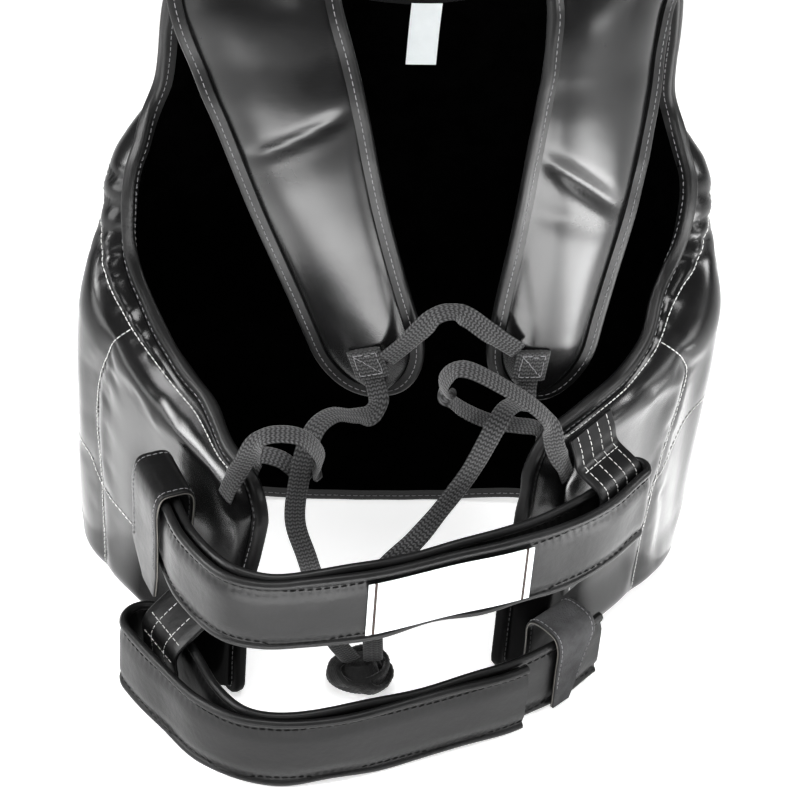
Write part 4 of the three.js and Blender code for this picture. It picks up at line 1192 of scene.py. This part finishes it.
# leather strips sewn to the wings: two hold the turned belts, two fold over the belts' fixed ends
strip = dict(width=42, depth=2.8, corner=1, bearing=(-0.55, -0.3, 0, 0.3, 0.55), step=1.6, inset=3.4,
             skin=0.05, stitchLength=3.2, stitchGap=0.9, threadRadius=0.28)
beltLoops = dict(
    right=dict(belt="upper", at=0.957, lift=-0.1, sewn=(207, 197, 187), free=(177, 156, 136, 117),
               returns=(104, 92, 80), lines=(-15, -5, 5, 15), crossings=(2.2,)),
    left=dict(belt="lower", at=0.95, lift=-0.3, sewn=(104, 92, 80), free=(58, 40, 22, 4), returns=(),
              lines=(-8, 8), crossings=(2.2, 2.8, 3.4)),
)
keepers = dict(
    left=dict(belt="upper", at=0.07, lift=-1.6, sewn=(118, 145), layers=2, slack=2, crest=2, hang=92,
              breadth=1, taperFrom=0.75),
    right=dict(belt="lower", at=0.08, lift=-1.2, sewn=(24, 42), layers=1, slack=0.7, crest=5, hang=4,
               breadth=0.82, taperFrom=0),
)
flapShape = dict(turns=(45, 90, 135), drops=(0.05, 0.4, 0.75), tipScale=0.45, tipShift=0.2, stitchEnd=1.1)


def nearestAlong(place):
    wing = 1 if place[0] > 0 else -1
    along = np.arange(shell["wingFrom"], halfGirth - strip["width"] / 2)
    spots, _ = planAt(along * wing)
    return along[np.argmin(np.linalg.norm(spots - place, axis=1))] * wing


def wingReach(spot, along, up, lift):
    # how far a strip stands off the belt's middle line to lie flat on the wing
    face, out = wingFace(along + np.array(strip["bearing"]) * strip["width"], up)
    flat = (face + out * (lift + strip["depth"] / 2) - spot["at"]) * (1, 1, 0)
    return (flat @ spot["out"]).max()


def stripSpot(row):
    spot = {key: value[0] for key, value in beltFrame(belts[row["belt"]], row["at"]).items()}
    return spot, nearestAlong(spot["at"])


def stripPlace(spot, reach, up):
    place = spot["at"] + spot["out"] * reach
    return [place[0], place[1], up]


def wingPlaces(spot, along, lift, ups):
    return [stripPlace(spot, wingReach(spot, along, up, lift), up) for up in ups]


def loopProfile(row):
    spot, along = stripSpot(row)
    onWing, under = (wingPlaces(spot, along, row["lift"], row[part]) for part in ("sewn", "returns"))
    return spot, np.array(onWing + [stripPlace(spot, 0, up) for up in row["free"]] + under)


def keeperProfile(row):
    spot, along = stripSpot(row)
    beltTop = belts[row["belt"]]["middle"] + belt["height"] / 2
    places = wingPlaces(spot, along, row["lift"], (*row["sewn"], beltTop))
    rear = wingReach(spot, along, beltTop, row["lift"])
    front = (row["layers"] - 1.5) * 2 * spot["half"] + belt["depth"] / 2 + row["slack"] + strip["depth"] / 2
    for turn in flapShape["turns"]:
        angle = math.radians(turn)
        up = beltTop + row["slack"] + (strip["depth"] / 2 + row["crest"]) * math.sin(angle)
        places.append(stripPlace(spot, (front + rear) / 2 - (front - rear) / 2 * math.cos(angle), up))
    drop = beltTop - row["hang"]
    places += [stripPlace(spot, front, beltTop - drop * share) for share in flapShape["drops"]]
    places.append(stripPlace(spot, front, row["hang"]))
    return spot, np.array(places)


def makeStrip(name, spot, places, node, flap=None):
    curve = curveThrough(places)
    shares = np.linspace(0, 1, int(curve["length"][-1] / strip["step"]))
    at, run, marks = onCurve(curve, shares)
    side = squareTo(np.tile(spot["run"], (len(at), 1)), run)
    face = unit(np.cross(run, side))
    section = roundedBar(strip["width"], strip["depth"], strip["corner"], 2, 6)
    profile = np.repeat(section[None], len(at), 0)
    line = dict(at=at, side=side, face=face, marks=marks, scale=np.ones(len(at)), shift=np.zeros(len(at)))
    paints, paintOf = [stripLeather], None
    if flap:
        fall = (0, *flapShape["drops"], 1)
        down = np.interp(marks, np.arange(len(places) - len(fall), len(places)), fall)
        narrow = np.maximum(0, down - flap["taperFrom"]) / (1 - flap["taperFrom"])
        line["scale"] = flap["breadth"] * lerp(1, flapShape["tipScale"], narrow)
        line["shift"] = strip["width"] * flapShape["tipShift"] * narrow
        profile[..., 0] = profile[..., 0] * line["scale"][:, None] + line["shift"][:, None]
        pairs = np.stack([section, np.roll(section, -1, 0)])
        cutEdge = (np.abs(pairs[..., 0]) > strip["width"] / 2 - strip["skin"]).all(0)
        under = (pairs[..., 1] < strip["skin"] - strip["depth"] / 2).all(0)
        paints, paintOf = [stripLeather, rawEdge, pileCloth], np.where(cutEdge, 1, np.where(under, 2, 0))
    piece = sweep(name, at, side, face, profile, paints, facePaint=paintOf)
    return sewOn(piece, "leather", node), line


def stripLines(line, rows):
    # rows of (distance across, first mark, last mark) along the strip, or (mark,) across it
    ends = np.array([-1, 1])[:, None] * (strip["width"] / 2 - strip["inset"])
    lines = []
    for row in rows:
        for sign in (1, -1):
            lift = line["face"] * sign * strip["depth"]
            if len(row) == 1:
                index = np.argmin(np.abs(line["marks"] - row[0]))
                lines.append(line["at"][index] + line["side"][index] * ends + lift[index])
            else:
                keep = (line["marks"] >= row[1]) & (line["marks"] <= row[2])
                across = row[0] * line["scale"] + line["shift"]
                lines.append((line["at"] + line["side"] * across[:, None] + lift)[keep])
    return lines


def sewStrip(kind, side, spot, places, rows, paint, flap=None):
    piece, line = makeStrip(f"{kind}.{side}.strip", spot, places, f"{kind.replace('.', '_')}_{side}", flap)
    sewLines(f"{kind}.{side}.stitches", piece, stripLines(line, rows), strip, paint, "leather")


def makeStrips():
    edge = strip["width"] / 2 - strip["inset"]
    for side, row in beltLoops.items():
        spot, places = loopProfile(row)
        rows = [(at,) for at in row["crossings"]] + [(at, 0, len(places) - 1) for at in row["lines"]]
        sewStrip("belt.loop", side, spot, places, rows, whiteThread)
    for side, row in keepers.items():
        spot, places = keeperProfile(row)
        rows = [(at, 0, len(places) - 1 - flapShape["stitchEnd"]) for at in (-edge, edge)]
        sewStrip("keeper.flap", side, spot, places, rows, greyThread, row)


makeStrips()
print("strips sewn")


# pale floor, soft studio light
# glow is light painted on the floor: emission brightest round the object, fading further out
studio = dict(floor=8, floorTone=(0.93, 0.93, 0.93), glow=(0.62, 0.12), glowReach=(0.42, 0.8),
              skyTone=(1, 1, 1), skyPower=0.12)
lamps = [  # name, place, aim, size, power, and spread in degrees
    ("overheadSoftbox", (0, -0.3, 2.2), (0, 0, 0), (1.2, 1), 36, 180),
    ("leftSoftbox", (-1.2, -0.22, 1.05), (0, 0, 0.2), (1, 0.8), 3.2, 40),
    ("rightSoftbox", (1.4, 0, 0.9), (0, 0, 0.2), (0.4, 0.7), 1, 40),
    ("lowLeftSoftbox", (-1.35, -0.45, 0.34), (-0.1, 0, 0.2), (0.9, 0.34), 4.5, 180),
    ("lowRightSoftbox", (1.2, -0.55, 0.3), (0.1, 0, 0.22), (0.4, 0.3), 2, 180),
    ("cameraSoftbox", (-0.15, -1.7, 1.25), (0, 0, 0.2), (0.6, 0.45), 4, 180),
    ("backSoftbox", (0, 1.5, 1.3), (0, 0.6, 0), (1.6, 0.5), 10, 180),
    ("frontCard", (-0.05, -0.53, 0.02), (-0.05, -0.53, 1), (0.74, 0.38), 8.6, 180),
    ("rightFrontCard", (0.5, -0.29, 0.02), (0.5, -0.29, 1), (0.36, 0.32), 5, 180),
    ("leftCard", (-0.29, 0.05, 0.02), (-0.29, 0.05, 1), (0.14, 0.5), 0.36, 180),
    ("rightCard", (0.28, 0.05, 0.02), (0.28, 0.05, 1), (0.16, 0.5), 0.5, 180),
]


def makeFloor():
    bpy.ops.mesh.primitive_plane_add(size=studio["floor"], location=(0, 0, 0))
    floor = bpy.context.object
    floor.name = "paleFloor"
    paint, tree, shader = newPaint("paleFloor")
    setSockets(shader, Base_Color=(*studio["floorTone"], 1), Roughness=0.8, Specular_IOR_Level=0.1,
               Emission_Color=(1, 1, 1, 1))
    # painted light: the floor glows in a pool round the object, dimmer further out
    away = addNode(tree, "VectorMath")
    away.operation = "LENGTH"
    (near, far), (bright, dim) = studio["glowReach"], studio["glow"]
    pool = addNode(tree, "MapRange", From_Min=near, From_Max=far, To_Min=bright, To_Max=dim)
    pool.interpolation_type = "SMOOTHSTEP"
    wire(tree, (addNode(tree, "TexCoord"), "Object", away, 0), (away, "Value", pool, "Value"),
         (pool, "Result", shader, "Emission Strength"))
    floor.data.materials.append(paint)


def makeStudio():
    makeFloor()
    sky = bpy.data.worlds.new("studioSky")
    sky.use_nodes = True
    backdrop = sky.node_tree.nodes["Background"]
    setSockets(backdrop, Color=(*studio["skyTone"], 1), Strength=studio["skyPower"])
    bpy.context.scene.world = sky
    for name, place, aim, size, power, spread in lamps:
        bpy.ops.object.light_add(type="AREA", location=place)
        lamp = bpy.context.object
        lamp.name = name
        lamp.data.shape = "RECTANGLE"
        lamp.data.size, lamp.data.size_y = size
        lamp.data.energy = power
        lamp.data.spread = math.radians(spread)
        lamp.visible_camera = False
        lamp.rotation_euler = (Vector(aim) - lamp.location).to_track_quat("-Z", "Y").to_euler()
    bpy.context.scene.view_settings.view_transform = "Standard"


makeStudio()
print("studio lit")
